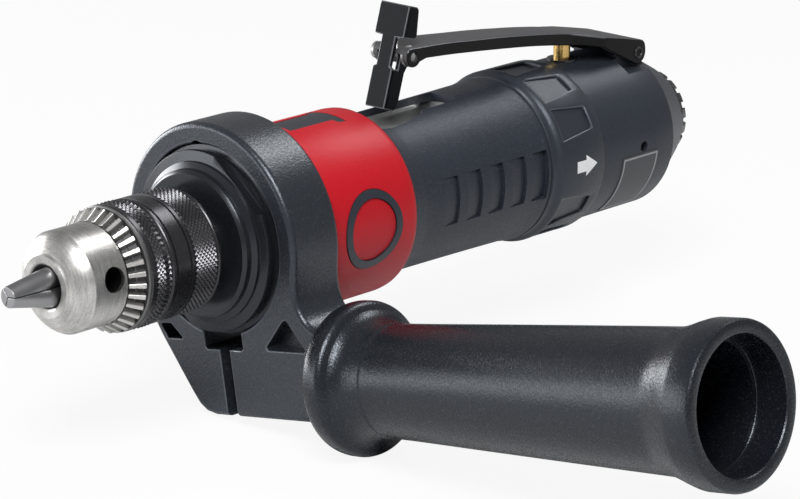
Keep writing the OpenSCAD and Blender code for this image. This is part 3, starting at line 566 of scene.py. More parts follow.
def at(x_mm, y_mm=0.0, z_mm=0.0):
    """A move in millimetres."""
    return Matrix.Translation((x_mm * MM, y_mm * MM, z_mm * MM))


def around(angle_deg):
    """A turn about the tool axis, counted from +Y toward +Z."""
    return Matrix.Rotation(math.radians(angle_deg), 4, "X")


def outward(angle_deg):
    """Puts a shape drawn in XY, raised along z, on the tool's outside at that angle."""
    return around(angle_deg - 90.0)


# Turns that lay a shape drawn along X across the tool, and one drawn in XY on the tool's front
CROSSWAYS = Matrix.Rotation(math.pi / 2, 4, "Z")
FACING_FRONT = Matrix(((0, 0, 1, 0), (1, 0, 0, 0), (0, 1, 0, 0), (0, 0, 0, 1)))


def combine(bm, tool, operation):
    """The boolean of two bmeshes."""
    objects = []
    for shape in (bm, tool):
        mesh = bpy.data.meshes.new("shape")
        shape.to_mesh(mesh)
        shape.free()
        objects.append(bpy.data.objects.new("shape", mesh))
        bpy.context.scene.collection.objects.link(objects[-1])
    modifier = objects[0].modifiers.new("cut", "BOOLEAN")
    modifier.operation = operation
    modifier.solver = "EXACT"
    modifier.object = objects[1]
    bpy.context.view_layer.update()
    done = objects[0].evaluated_get(bpy.context.evaluated_depsgraph_get())
    result = bmesh.new()
    result.from_mesh(done.to_mesh())
    done.to_mesh_clear()
    for o in objects:
        mesh = o.data
        bpy.data.objects.remove(o)
        bpy.data.meshes.remove(mesh)
    bmesh.ops.remove_doubles(result, verts=result.verts, dist=2e-6)
    bmesh.ops.dissolve_degenerate(result, edges=result.edges, dist=2e-6)
    return result


def carve(bm, *tools):
    for tool in tools:
        bm = combine(bm, tool, "DIFFERENCE")
    return bm


def flat_faces(piece):
    """Keeps large faces flat beside narrow bevels."""
    modifier = piece.modifiers.new("flat_faces", "WEIGHTED_NORMAL")
    modifier.keep_sharp = True
    return piece


def cad_copy(node):
    """A merged copy of a CAD node with its flat faces joined."""
    bm = bmesh.new()
    bm.from_mesh(NODES[node].data)
    bmesh.ops.remove_doubles(bm, verts=bm.verts, dist=1e-6)
    bmesh.ops.dissolve_limit(bm, angle_limit=math.radians(0.8), verts=bm.verts, edges=bm.edges)
    return bm


def place(piece, node):
    """Puts a piece on its body in place of a CAD node."""
    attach(piece, BODY_OF[node])
    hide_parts(node)


# Every CAD node that stays takes the finish of its slot, but for two: the pin bushing takes black
# steel, and the stop pin, deep in its hole, takes a near-black lacquer as painted shade in the hole
STAY = {"pin_bushing": FINISH["steel_dark"], "stop_pin": PLASTIC["lacquered_latch"]}
for name, node_object in NODES.items():
    node_object.data.materials.clear()
    node_object.data.materials.append(STAY.get(name, FINISH[SLOT_OF[name]]))


# Chuck: turned nose, gear ring, knurled sleeve, jaws

def chuck_nose():
    """Nose with a bit bore, slanted jaw ways and key holes."""
    bore_r, waist_r, seat_r = 5.2, 12.2, 15.45
    dome = flowing([(-0.45, 8.75), (-1.35, 10.2), (-2.6, 11.75), (-3.9, 12.95), (-5.0, 13.6)], 4)
    bm = lathe([
        (-30.5, bore_r), (-0.9, bore_r), (-0.2, 6.2), (0.0, 6.5), (0.0, 8.3), *dome,
        (-5.35, NOSE_R), (-16.2, NOSE_R), (-16.2, waist_r), (-18.6, waist_r), (-18.6, 9.7),
        (-24.4, 11.0), (-24.4, waist_r), (-44.1, waist_r), (-44.1, seat_r), (-47.1, seat_r),
        (-47.1, 4.74), (-34.4, 4.74), (-34.4, 2.7), (-30.5, 2.7),
    ], steps=160)
    lean = Matrix.Rotation(math.radians(-JAW_LEAN), 4, "Z")
    tools = []
    for k in range(JAWS):
        way = around(KEY_TURN + JAW_STEP / 2 + JAW_STEP * k) @ at(0, 2.4) @ lean
        tools.append(rod(JAW_WAY_R, 60, way @ at(-43.2)))
        hole = around(KEY_TURN + JAW_STEP * k) @ at(X_KEY, NOSE_R - 6.2) @ CROSSWAYS
        tools.append(rod(KEY_HOLE_R, 12, hole))
    bm = carve(bm, *tools)
    place(wake(bm, "chuck_nose", CHUCK_STEEL, sharp_deg=20.0), "chuck_body")


def chuck_gear():
    """Bevel gear ring: straight teeth standing on a cone with open outer ends."""
    bore_r, lip_r = 12.4, 16.95
    base = lathe([
        (-17.4, bore_r), (-17.4, 12.75), (-20.75, 15.5), (-21.0, 16.6), (-21.25, lip_r),
        (-21.9, lip_r), (X_BAND, 16.85), (X_BAND, bore_r),
    ], steps=192)
    slope = math.atan2(2.8, 3.7)
    lie = Matrix((
        (0, math.sin(slope), -math.cos(slope), -16.87 * MM),
        (0, math.cos(slope), math.sin(slope), 13.34 * MM),
        (1, 0, 0, 0), (0, 0, 0, 1),
    ))
    section = [(-0.78, -0.9), (0.78, -0.9), (0.5, 0.95), (-0.5, 0.95)]
    teeth = []
    for k in range(TEETH):
        tooth = prism(section, 0.0, 4.65)
        far = [v for v in tooth.verts if v.co.z > 2 * MM]
        bmesh.ops.scale(tooth, vec=(1.25, 1, 1), verts=far)
        soften(tooth, 0.12, 30.0, segments=1)
        turn = around(KEY_TURN + k * 360 / TEETH)
        bmesh.ops.transform(tooth, matrix=turn @ lie, verts=tooth.verts)
        bmesh.ops.recalc_face_normals(tooth, faces=tooth.faces)
        teeth.append(tooth)
    # Faces within radius 16.4, in the gaps between the teeth, take near-black steel as painted
    # shade; the outer lip stays iron grey.
    for face in base.faces:
        if math.hypot(*face.calc_center_median().yz) > 16.4 * MM:
            face.material_index = 1
    for piece, slot in (
        (wake(joined(*teeth), "chuck_gear_teeth", FINISH["steel_bright"], sharp_deg=30.0),
         "steel_bright"),
        (wake(base, "chuck_gear_ring", GEAR_GAP_SHADE, FINISH["iron"], sharp_deg=30.0), "iron"),
    ):
        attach(piece, "sleeve")


def chuck_sleeve():
    """Sleeve with two bands of diamond knurling between plain grooves."""
    steps, peak, valley = 144, 0.18, -0.34
    bore_r, groove_r, edge_r, knurl_r = 15.6, 16.6, 16.8, 17.02
    bands = []
    for front, rear, count in ((-24.0, -29.3, 8), (-37.7, -45.6, 12)):
        bands.append([front + (rear - front) * k / count for k in range(count + 1)])
    bm = lathe([
        (X_BAND - 0.02, bore_r), (X_BAND - 0.02, 16.7), (X_BAND - 0.3, SLEEVE_R), (-23.5, SLEEVE_R),
        (-23.7, edge_r), *[(x, knurl_r) for x in bands[0]], (-29.6, edge_r), (-29.8, SLEEVE_R),
        (-30.55, SLEEVE_R), (-30.7, groove_r), (-31.1, groove_r), (-31.25, SLEEVE_R),
        (-35.6, SLEEVE_R), (-35.75, groove_r), (-36.15, groove_r), (-36.3, SLEEVE_R),
        (-37.2, SLEEVE_R), (-37.4, edge_r), *[(x, knurl_r) for x in bands[1]], (-45.9, edge_r),
        (-46.1, SLEEVE_R), (-46.5, SLEEVE_R), (X_CHUCK, 16.4), (X_CHUCK, bore_r), (-25, bore_r),
    ], steps)
    grid = {round(x, 3): (k, len(band) - 1) for band in bands for k, x in enumerate(band)}
    knurl = set()
    for v in bm.verts:
        x = round(v.co.x / MM, 3)
        radius = math.hypot(v.co.y, v.co.z) / MM
        if x in grid and radius > (SLEEVE_R + knurl_r) / 2:
            row, last = grid[x]
            column = round(math.atan2(v.co.z, v.co.y) / (2 * math.pi) * steps)
            lift = peak if 0 < row < last and (column + row) % 2 == 0 else valley
            knurl.add(v)
            bmesh.ops.scale(bm, vec=(1, 1 + lift / radius, 1 + lift / radius), verts=[v])
    # Knurl faces take the lighter black steel, a painted glint on the knurling.
    faces = [f for f in bm.faces if all(v in knurl for v in f.verts)]
    for face in faces:
        face.material_index = 1
    bmesh.ops.triangulate(bm, faces=faces, quad_method="SHORT_EDGE")
    piece = wake(bm, "chuck_sleeve_shell", FINISH["steel_dark"], KNURL_GLINT_STEEL, sharp_deg=28.0)
    place(piece, "chuck_sleeve")


def jaws():
    """The CAD jaws with their sharp edges rounded."""
    for k in range(1, JAWS + 1):
        node = f"chuck_jaw_{k}"
        bm = soften(cad_copy(node), 0.15, 26.0)
        place(flat_faces(wake(bm, node + "_part", JAW_STEEL)), node)


# Housing: gear case, red cover, grip, exhaust ring, rear housing

PANEL = [
    (-84.9, -4.7), (-84.9, 4.7), (-101.2, 4.7), (-101.7, 6.6), (-104.4, 7.0),
    (-104.4, -7.0), (-101.7, -6.6), (-101.2, -4.7),
]
PAD_TURNS = (59.7, 30.9, -31.5, -61.0, 178.0, 149.0, 120.0, 89.5)


def skin(inner, outer):
    """A thin tube over the cover's length."""
    return lathe([(X_COVER, inner), (X_COVER, outer), (X_GRIP, outer), (X_GRIP, inner)], steps=180)


def badge_bar(radius_mm):
    """A round bar out of the cover's side, as wide as a ring of the badge."""
    return rod(radius_mm, 40, at(X_BADGE) @ CROSSWAYS, 96)


def red_cover():
    """Red band with curved pockets for the panel and the badge."""
    bore_r = 24.8
    bm = lathe([
        (X_COVER, bore_r), (X_COVER, 25.9), (X_COVER - 0.15, 26.15), (X_COVER - 0.5, COVER_R),
        (X_GRIP + 2.4, COVER_R), (X_GRIP + 1.2, 26.15), (X_GRIP + 0.5, 25.75),
        (X_GRIP + 0.15, 25.2), (X_GRIP + 0.15, bore_r),
    ], steps=180)
    bm = carve(bm, combine(skin(25.3, 28.0), prism(PANEL, 20.0, 30.0), "INTERSECT"),
               combine(skin(25.55, 28.0), badge_bar(11.1), "INTERSECT"))
    place(wake(bm, "red_cover", FINISH["red_plastic"]), "cover_band")


def cover_trim():
    """Plain panel on top of the cover, bare ring and red centre on its side."""
    shrunk = [(x * 0.994 - 94.6 * 0.006, y * 0.97) for x, y in PANEL]
    panel = combine(skin(25.1, 26.15), prism(shrunk, 20.0, 30.0), "INTERSECT")
    place(flat_faces(wake(panel, "cover_panel_plate", PLASTIC["panel_plastic"])), "cover_panel")
    band = combine(skin(25.2, 26.6), badge_bar(10.95), "INTERSECT")
    band = carve(band, badge_bar(8.7))
    place(wake(band, "badge_ring", PLASTIC["ring_plastic"]), "badge")
    centre = combine(skin(25.2, 26.1), badge_bar(8.55), "INTERSECT")
    centre = wake(centre, "badge_centre", FINISH["red_plastic"])
    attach(centre, "housing")


def grip():
    """Soft sleeve with a window on top and five stepped recesses on each side."""
    bore_r, rear_x = 20.92, -171.3
    outer = flowing([
        (-115.0, 23.9), (-118.0, 23.35), (-121.6, 22.98), (-132.0, 23.02), (-150.0, 23.25),
        (-166.0, 23.55),
    ], 5)
    bm = lathe([
        (-113.2, bore_r), (-113.2, 24.2), (-113.6, 24.35), (-114.2, 24.2), *outer,
        (-169.4, 24.0), (-170.6, 24.1), (rear_x, 23.8), (rear_x, bore_r),
    ], steps=180)
    window = [
        (-112.5, 10.3), (-121.0, 9.6), (-128.0, 8.6), (-133.6, 7.6), (-135.2, 7.0),
        (-135.6, 5.9), (-148.5, 5.7), (-151.0, 4.6),
    ]
    window = window + [(x, -y) for x, y in reversed(window)]
    tools = [prism(window, 14.0, 30.0)]
    for side in (0.0, 180.0):
        for rear in (-133.3, -142.7, -151.9, -161.0, -170.0):
            front = rear + 5.8
            high = 23.55 if rear < -160 else 23.3
            step = [(rear, high - 1.05), (front, high - 0.32), (front, high + 3), (rear, high + 3)]
            tools.append(arc_block(step, 17.5, side))
    bm = carve(bm, *tools)
    place(wake(bm, "grip_cover", FINISH["grip_rubber"], sharp_deg=40.0), "grip_sleeve")


def exhaust_ring():
    """Turning ring with sunk pads, vents underneath and a painted arrow."""
    bore_r, inner_r = 20.26, 23.2
    bm = lathe([
        (-171.6, bore_r), (-171.6, 23.6), (-172.0, 24.1), (-173.6, 24.1), (-174.2, 24.6),
        (-174.8, 25.1), (-175.4, RING_R), (-192.6, RING_R), (-193.3, 25.1), (-193.55, 24.6),
        (-193.55, bore_r), (-190.55, bore_r), (-190.55, inner_r), (-174.6, inner_r),
        (-174.6, bore_r),
    ], steps=192)
    pad = [(-176.4, -4.85), (-176.4, 4.85), (-189.6, 3.2), (-189.6, -3.2)]
    vent = [(-188.5, -1.4), (-188.5, 1.4), (-176.6, 1.4), (-176.6, -1.4)]
    tools = [prism(pad, 24.35, 28.0, outward(turn)) for turn in PAD_TURNS]
    tools += [prism(vent, 15.0, 30.0, outward(235 + 16 * k)) for k in range(-2, 3)]
    bm = carve(bm, *tools)
    bmesh.ops.remove_doubles(bm, verts=bm.verts, dist=4e-5)
    # The new bevel faces round the pads take a lighter grey: a painted highlight on their edges.
    soften(bm, 0.4, 40.0, 3, lambda p: math.hypot(p.y, p.z) > 24.8 and -190.2 < p.x < -176.0, 1)
    collar = wake(bm, "exhaust_collar", PLASTIC["ring_plastic"], PLASTIC["painted_edge_highlight"],
                  sharp_deg=40.0)
    place(collar, "exhaust_ring")
    arrow = [
        (-189.7, 0.0), (-185.0, 3.1), (-185.0, 1.7), (-181.0, 1.7), (-181.0, -1.7),
        (-185.0, -1.7), (-185.0, -3.1),
    ]
    under, over = RING_R - 0.1, RING_R + 0.04
    film = lathe([(-180.0, under), (-180.0, over), (-191.0, over), (-191.0, under)], steps=192)
    mark = combine(film, prism(arrow, 20.0, 30.0, outward(0.0)), "INTERSECT")
    mark = wake(mark, "ring_arrow", PALE_PAINT)
    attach(mark, "ring")


def gear_case():
    """Stepped nose with two wrench flats, and the neck for the bracket."""
    nose_r, bore_r, seat_r = 8.6, 21.5, 24.78
    bm = lathe([
        (-52.0, nose_r), (-52.0, 19.3), (-52.8, 20.3), (-54.4, 20.3), (-55.0, 22.0),
        (-56.0, 22.0), (-56.0, 24.9), (-57.8, 24.9), (-58.0, 24.3), (-59.5, 24.3),
        (-59.5, NECK_R), (X_COVER, NECK_R), (X_COVER, seat_r), (X_GRIP, seat_r),
        (X_GRIP, bore_r), (-60.0, bore_r), (-60.0, nose_r),
    ], steps=160)
    flat = [(-55.9, -20), (-55.9, 20), (-58.05, 20), (-58.05, -20)]
    flats = [prism(flat, 22.4, 32.0, outward(53.6 + side)) for side in (0, 180)]
    soften(bm, 0.22, 40.0)
    place(wake(carve(bm, *flats), "gear_case_nose", PLASTIC["gloss_case"]), "gear_case")


def across(spot, radius_mm, low_mm, high_mm):
    """A round bar across the tool at a point seen from the side."""
    return rod(radius_mm, high_mm - low_mm, at(spot[0], low_mm, spot[1]) @ CROSSWAYS)


def upward(x_mm, radius_mm, low_mm, high_mm):
    """An upright round bar on the tool's middle plane."""
    upend = at(x_mm, 0, low_mm) @ Matrix.Rotation(-math.pi / 2, 4, "Y")
    return rod(radius_mm, high_mm - low_mm, upend)


def rear_end():
    """Rear housing with the lever's pivot boss, and the inlet bushing."""
    bore_r, inlet_r, room_r, boss_y = 20.2, 9.43, 8.0, 8.2
    bm = lathe([
        (X_TAIL, bore_r), (X_TAIL, 23.6), (-194.0, 23.95), (-194.45, TAIL_R), (-208.0, TAIL_R),
        (-210.6, TAIL_R), (-214.5, TAIL_R), (-217.0, TAIL_R), (-226.0, TAIL_R), (-226.45, 24.0),
        (-226.7, 23.5), (-227.0, 23.2), (-239.9, 16.4), (-240.6, 15.9), (-240.85, 15.4),
        (-240.85, inlet_r), (-228.85, inlet_r), (-228.85, room_r), (-195.5, room_r),
        (-195.5, bore_r),
    ], steps=240)
    block = [(-229.4, -boss_y), (-218.2, -boss_y), (-218.2, boss_y), (-229.4, boss_y)]
    boss = combine(prism(block, 12.0, PIVOT[1]), across(PIVOT, 2.5, -boss_y, boss_y), "UNION")
    bm = combine(bm, boss, "UNION")
    sides = []
    for s in (-1, 1):
        beside = [(-256.0, s * boss_y), (-216.85, s * boss_y), (-216.85, s * 40), (-256.0, s * 40)]
        sides.append(prism(beside, 19.5, 40.0))
        bmesh.ops.recalc_face_normals(sides[-1], faces=sides[-1].faces)
    plunger_way = upward(X_PLUNGER, 4.42, 9.9, 40.0)
    plug_way = upward(X_PLUNGER, 7.02, -40.0, -15.0)
    stop_hole = across((-212.55, 0.0), 1.55, 19.7, 30.0)
    bm = carve(bm, *sides, plunger_way, plug_way, stop_hole)
    place(wake(bm, "rear_housing_shell", FINISH["case_black"], sharp_deg=24.0), "rear_housing")
    rim = wake(cad_copy("inlet_bushing"), "inlet_bushing_rim", PLASTIC["inlet_black"],
               sharp_deg=30.0)
    place(rim, "inlet_bushing")


# Throttle: lever, latch, pins, springs

LEVER_TOP = [
    (-130.2, 40.95), (-145.2, 40.1), (-156.9, 38.95), (-168.8, 37.75), (-180.5, 36.35),
    (-190.0, 35.05), (-199.0, 33.6), (-210.0, 31.3), (-220.0, 29.2), (-226.6, 27.75),
]
LEVER_LOW = [
    (-210.2, 28.0), (-203.3, 29.4), (-198.6, 30.0), (-191.0, 31.3), (-180.6, 32.8),
    (-164.9, 34.6), (-149.0, 36.2), (-137.2, 37.1),
]
LEVER_PLAN = [(-120.0, 6.7), (-199.5, 6.7), (-210.5, 10.5), (-240.0, 10.5)]


def upright(outline, half_mm):
    """A side outline in (x, z) made into a plate across the tool."""
    return prism(outline, -half_mm, half_mm, Matrix.Rotation(math.pi / 2, 4, "X"))


def lever_plan(inset):
    """The lever's outline seen from above, raised past its height."""
    half = [(x, y - inset) for x, y in LEVER_PLAN]
    return prism(half + [(x, -y) for x, y in reversed(half)], 0.0, 60.0)


def throttle_lever():
    """Bent sheet channel with a lobe for the latch and ears for the pivot."""
    half, wall, thin_wall = 12.0, 1.8, 1.1
    top = flowing(LEVER_TOP, 4)
    ear = arc(3.6, range(190, 300, 18), PIVOT)
    lobe = arc(2.9, range(216, 375, 18), LATCH_AXIS)
    low = flowing(LEVER_LOW, 3)
    rear = [(-228.2, 27.2), (-229.1, 26.2), (-229.4, 24.8)]
    outline = top + rear + ear + [(-214.0, 25.9)] + low + lobe + [(-129.3, 39.9)]
    bm = combine(upright(outline, half), lever_plan(0.0), "INTERSECT")
    bmesh.ops.remove_doubles(bm, verts=bm.verts, dist=3e-5)
    bmesh.ops.dissolve_limit(bm, angle_limit=math.radians(0.5), verts=bm.verts, edges=bm.edges)
    soften(bm, 0.5, 35.0, 3)
    inner = [(x, z - wall) for x, z in top[:-5]] + [(x, z - thin_wall) for x, z in top[-5:]]
    inner = [
        (-120.0, inner[0][1] + 0.3), *inner, (-240.0, inner[-1][1] - 3.0), (-240.0, 5.0),
        (-120.0, 5.0),
    ]
    pin_hole = rod(1.55, 30, at(LATCH_AXIS[0], -15, LATCH_AXIS[1]) @ CROSSWAYS, 32)
    bm = carve(bm, combine(upright(inner, half), lever_plan(wall), "INTERSECT"), pin_hole)
    bm.normal_update()
    # Faces sloping between the lever's top and its sides take a lighter grey: a painted highlight
    # along the folds.
    for face in bm.faces:
        if 0.3 < abs(face.normal.y) < 0.95 and face.normal.z > 0.25:
            face.material_index = 1
    piece = wake(bm, "throttle_lever_channel", LEVER_BLACK, PLASTIC["painted_bevel_highlight"], sharp_deg=38.0)
    place(flat_faces(piece), "throttle_lever")


def latch():
    """Folded plate: a shield across the lever's end, with tabs above and feet below."""
    high, tab_low, foot_high, low = 13.8, 4.6, -4.4, -15.8
    back, sheet = 4.9, 0.7
    right = [(2.5, -3.9), (3.6, foot_high), (3.6, -15.4), (3.2, low)]
    face = [
        (5.5, 13.2), (5.1, high), (-5.1, high), (-5.5, 13.2), (-5.5, 5.0), (-5.1, tab_low),
        (-2.5, 4.5), *[(-y, z) for y, z in right], *reversed(right), (2.5, 4.5), (5.1, tab_low),
        (5.5, 5.0),
    ]
    shapes = [prism(face, 3.6, 5.0, FACING_FRONT)]
    ear = arc(2.3, range(200, 19, -20))
    foot = [(back, low), (0.6, low), (-0.6, -14.0), (-0.6, -5.0), *ear, (2.3, foot_high),
            (back, foot_high)]
    tab = [(back, tab_low), (0.2, 4.9), (-0.6, 5.8), (0.7, 13.1), (1.5, high), (back, high)]
    for side in (-1, 1):
        for outline, out in ((foot, 3.6), (tab, 5.5)):
            shape = upright(outline, sheet)
            bmesh.ops.translate(shape, verts=shape.verts, vec=(0, side * (out - sheet) * MM, 0))
            shapes.append(shape)
    for shape in shapes:
        bmesh.ops.recalc_face_normals(shape, faces=shape.faces)
        # The bevels take a lighter grey: a painted highlight on the plate's edges.
        soften(shape, 0.28, 50.0, finish=1)
    bm = joined(*shapes)
    lean = at(LATCH_AXIS[0], 0, LATCH_AXIS[1]) @ Matrix.Rotation(math.radians(-17.2), 4, "Y")
    bmesh.ops.transform(bm, matrix=lean, verts=bm.verts)
    piece = wake(bm, "lock_latch", PLASTIC["lacquered_latch"], PLASTIC["painted_bevel_highlight"],
                 sharp_deg=40.0)
    place(flat_faces(piece), "latch")


def crosswise(profile, spot):
    """A turned pin across the tool, from (y, radius) points, about a point seen from the side."""
    bm = lathe(profile, steps=40)
    bmesh.ops.transform(bm, matrix=at(spot[0], 0, spot[1]) @ CROSSWAYS, verts=bm.verts)
    return bm


def pins():
    """Pivot pins of lever and latch, and the bent end of the latch's spring."""
    end = [(8.4, 0.0), (8.9, 0.95), (10.6, 1.1), (10.85, 1.3), (10.85, 1.65), (10.6, 1.88)]
    bm = crosswise(end + [(-y, r) for y, r in reversed(end)], PIVOT)
    place(wake(bm, "lever_pivot_pin", FINISH["steel_dark"]), "lever_pin")
    bm = crosswise([
        (5.6, 0.0), (5.9, 1.2), (5.6, 1.5), (-6.6, 1.5), (-6.6, 2.3), (-6.9, 2.5), (-7.9, 2.45),
        (-8.25, 2.1), (-8.3, 0.0),
    ], LATCH_AXIS)
    place(wake(bm, "latch_pivot_pin", FINISH["steel_gear"]), "latch_pin")
    wire = bmesh.new()
    bmesh.ops.create_circle(wire, cap_ends=True, segments=12, radius=0.5 * MM)
    upend = Matrix.Rotation(math.pi / 2, 4, "Y")
    bmesh.ops.rotate(wire, verts=wire.verts, matrix=upend, cent=(0, 0, 0))
    start = Vector((LATCH_AXIS[0] * MM, 4.25 * MM, LATCH_AXIS[1] * MM))
    bmesh.ops.translate(wire, verts=wire.verts, vec=start + Vector((0, 0, -2.55 * MM)))
    bmesh.ops.spin(wire, geom=wire.verts[:] + wire.edges[:] + wire.faces[:], cent=start,
                   axis=(0, 1, 0), angle=math.radians(-215), steps=30, use_duplicate=False)
    bmesh.ops.holes_fill(wire, edges=wire.edges, sides=0)
    bmesh.ops.recalc_face_normals(wire, faces=wire.faces)
    arm = wake(wire, "latch_spring_arm", FINISH["steel_gear"])
    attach(arm, "lever")


def springs():
    """Smooth-shaded copies of the valve's and the latch's springs; the valve's rides on the
    housing.
    """
    coils = {}
    for node in ("valve_spring", "latch_spring"):
        coils[node] = wake(cad_copy(node), node + "_coil", FINISH[SLOT_OF[node]], sharp_deg=70.0)
        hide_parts(node)
    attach(coils["valve_spring"], "housing")
    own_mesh(coils["valve_spring"])
    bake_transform(coils["latch_spring"])


# Side handle

def side_handle():
    """Turned hollow grip with a flange, a swelling tube and a flared lip."""
    turn = JOINT["handle_turn"]
    way = Vector(turn["axis"]).normalized()
    start = Vector(turn["pos_m"]) - way * 60 * MM
    swing = Vector((1, 0, 0)).rotation_difference(way).to_matrix().to_4x4()
    face_x, lip_r, end_x = 39.3, 21.1, 169.8
    front = flowing([(face_x, 18.9), (39.7, 19.65), (40.3, 20.1), (41.3, 20.42), (42.4, 20.6)], 3)
    back = flowing([(44.5, 20.65), (45.4, 20.4), (46.1, 19.8), (46.6, 19.0), (47.0, 18.3)], 3)
    tube = flowing([
        (47.0, 18.3), (48.0, 17.35), (49.6, 16.5), (52.0, 15.85), (55.0, 15.4), (60.0, 15.15),
        (90.0, 16.2), (120.0, 17.25), (150.0, 18.25),
    ], 5)
    lip = flowing([(150.0, 18.25), (153.0, 18.5), (156.4, 19.4), (159.4, 20.35), (161.6, 20.95)], 4)
    bm = lathe([
        (40.15, STUD_R), (40.15, 12.2), (face_x, 12.2), *front, *back[:-1], *tube[:-1], *lip,
        (162.4, lip_r), (168.7, lip_r), (169.25, 20.95), (169.65, 20.55), (end_x, 20.0),
        (end_x, 17.9), (169.65, 17.55), (169.3, 17.3), (160.6, 16.95), (160.4, 16.8),
        (160.4, 15.7), (65.3, 12.4), (65.3, STUD_R),
    ], steps=176)
    bmesh.ops.transform(bm, matrix=Matrix.Translation(start) @ swing, verts=bm.verts)
    place(wake(bm, "handle_tube", FINISH["handle_plastic"], sharp_deg=27.0), "handle_grip")


def bracket():
    """Clamp ring round the neck with a slotted foot, pockets and a mouth for the gear case."""
    front, rear, low, ring_r, mouth_r = -58.4, -76.1, -49.0, 31.98, 25.98
    left = flowing([
        (-ring_r, 0.0), (-30.7, -12.0), (-26.6, -24.0), (-21.3, -33.5), (-15.5, -43.2),
    ], 3)[1:]
    right = flowing([
        (38.8, -23.9), (35.3, -23.4), (32.2, -21.2), (30.35, -17.8), (29.95, -14.2),
        (30.3, -11.2), (30.74, -8.82),
    ], 4)[:-1]
    foot = [(-13.4, -46.3), (-10.9, -48.2), (-7.5, low), (38.8, low)]
    outline = arc(ring_r, range(-16, 181, 4)) + left + foot + right
    bm = prism(outline, rear, front, FACING_FRONT)
    bmesh.ops.recalc_face_normals(bm, faces=bm.faces)
    rims = [e for e in bm.edges if abs(e.verts[0].co.x - e.verts[1].co.x) < 1e-6]
    bevel(bm, rims, 1.7, 5)
    mouth = lathe([
        (-80.0, mouth_r), (-60.2, mouth_r), (-58.9, 26.25), (-58.0, 26.9), (-50.0, 26.9),
        (-50.0, 0.0), (-80.0, 0.0),
    ], steps=160)
    slot = [(1.9, -60.0), (1.9, -30.4), (6.6, -30.4), (7.3, -29.7), (7.3, -10.0)]
    slot = [(-1.9, -60.0)] + slot + [(-y, z) for y, z in reversed(slot[1:])]
    notch = arc(2.6, range(0, 360, 20), (0.0, 24.4))
    tools = [
        mouth, prism(slot, -90.0, -40.0, FACING_FRONT), prism(notch, -62.0, -50.0, FACING_FRONT),
    ]
    pockets = (
        [(24.8, -21.4), (24.0, -21.6), (16.6, -28.9), (16.9, -29.8), (30.6, -29.8), (31.2, -29.2),
         (25.6, -21.6)],
        [(-24.0, -24.4), (-21.8, -28.0), (-16.4, -28.0), (-16.2, -27.6), (-20.0, -23.9),
         (-23.6, -23.9)],
    )
    for shape in pockets:
        for x in (front, rear):
            tools.append(prism(shape, x - 5, x + 5, FACING_FRONT))
    bm = carve(bm, *tools)
    bmesh.ops.remove_doubles(bm, verts=bm.verts, dist=2e-5)
    # The bevels on the front face take a lighter grey: a painted highlight on the edges of the
    # slots and pockets.
    soften(bm, 0.35, 45.0, 2, lambda p: abs(p.x - front) < 0.02, 1)
    bmesh.ops.transform(bm, matrix=around(10.0), verts=bm.verts)
    piece = wake(bm, "clamp_bracket", PLASTIC["bracket_plastic"], PLASTIC["painted_edge_highlight"],
                 sharp_deg=40.0)
    place(flat_faces(piece), "bracket")


chuck_nose()
chuck_gear()
chuck_sleeve()
jaws()
red_cover()
cover_trim()
grip()
exhaust_ring()
gear_case()
rear_end()
throttle_lever()
latch()
pins()
springs()
side_handle()
bracket()


# Stage: floor, world, lamps and camera, in metres

FLOOR_HALF = 6.0
FLOOR_GLOW = 0.9
DIM_LIGHT = 0.1
SHINY_SHARE = 0.24
LAMP_AIM = Vector((-0.11, 0.03, -0.005))
# Lamp by lamp: name, place, width, watts
LAMPS = (
    ("key", (0.45, 0.46, 0.78), 0.5, 11.8),
    ("left", (0.72, -0.55, 0.03), 0.7, 4.4),
    ("top", (-0.75, 0.0, 0.75), 0.4, 2.8),
    ("wall", (0.1, -1.0, 0.03), 0.7, 12.5),
)
CAMERA_PLACE = (0.57058, 0.65813, 0.27002)
CAMERA_LOOK = Vector((-0.69964, -0.65413, -0.28742))


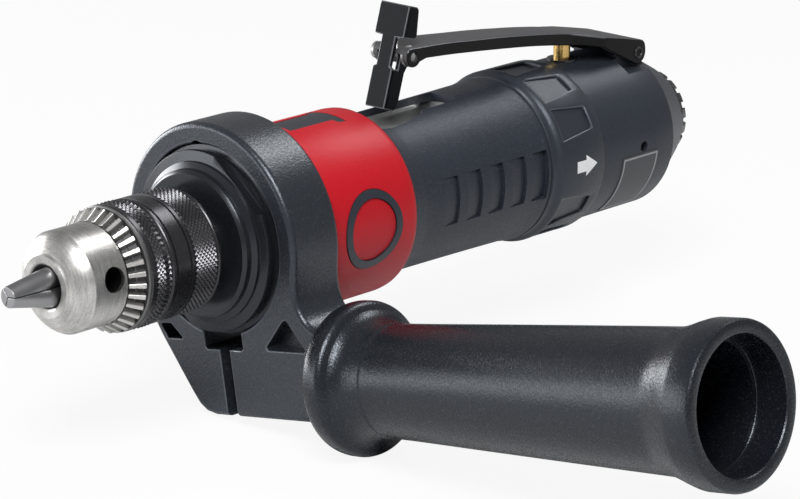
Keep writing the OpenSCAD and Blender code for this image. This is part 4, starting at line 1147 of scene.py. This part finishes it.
def floor():
    """Pale paper that looks white to the camera and keeps the shadow."""
    bm = bmesh.new()
    bmesh.ops.create_grid(bm, x_segments=1, y_segments=1, size=FLOOR_HALF)
    bmesh.ops.translate(bm, verts=bm.verts, vec=(0, 0, cad_box[0][2]))
    f = Finish("pale_floor")
    seen = f.node("ShaderNodeLightPath", out="Is Camera Ray")
    shade = f.blend(f.noise(40.0), [0.73] * 3, [0.75] * 3)
    paper = f.node("ShaderNodeBsdfDiffuse", None, {"Color": shade})
    glow = f.node("ShaderNodeEmission", None, {"Color": [1, 1, 1], "Strength": 1.0})
    both = f.node("ShaderNodeMixShader", None, {0: seen * FLOOR_GLOW, 1: paper, 2: glow})
    f.node("ShaderNodeOutputMaterial", None, {"Surface": both}, out=None)
    wake(bm, "floor", f.owner)


def world():
    """Dim all round, white to the camera and partly white to shiny surfaces."""
    f = Finish("studio", bpy.data.worlds)
    seen = f.node("ShaderNodeLightPath", out="Is Camera Ray")
    shiny = f.node("ShaderNodeLightPath", out="Is Glossy Ray")
    dim = f.node("ShaderNodeBackground", None, {"Color": [0.96, 0.98, 1.0], "Strength": DIM_LIGHT})
    white = f.node("ShaderNodeBackground", None, {"Color": [1, 1, 1], "Strength": 1.0})
    both = f.node("ShaderNodeMixShader", None, {0: shiny * SHINY_SHARE + seen, 1: dim, 2: white})
    f.node("ShaderNodeOutputWorld", None, {"Surface": both}, out=None)
    bpy.context.scene.world = f.owner


def stand(name, data, spot, way):
    """Puts a lamp or the camera at a spot, looking one way."""
    holder = bpy.data.objects.new(name, data)
    holder.location = spot
    holder.rotation_euler = way.to_track_quat("-Z", "Y").to_euler()
    bpy.context.scene.collection.objects.link(holder)
    return holder


def lamps_and_camera():
    """Round soft lamps about the tool, and the camera of the photo."""
    for name, spot, width, watts in LAMPS:
        lamp = bpy.data.lights.new(name, "AREA")
        lamp.shape = "DISK"
        lamp.size = width
        lamp.energy = watts
        stand(name, lamp, spot, LAMP_AIM - Vector(spot))
    camera = bpy.data.cameras.new("camera")
    camera.lens = 159.27
    camera.sensor_width = 36.0
    camera.clip_start = 0.01
    bpy.context.scene.camera = stand("camera", camera, CAMERA_PLACE, CAMERA_LOOK)


floor()
world()
lamps_and_camera()
bpy.context.scene.view_settings.view_transform = "Standard"
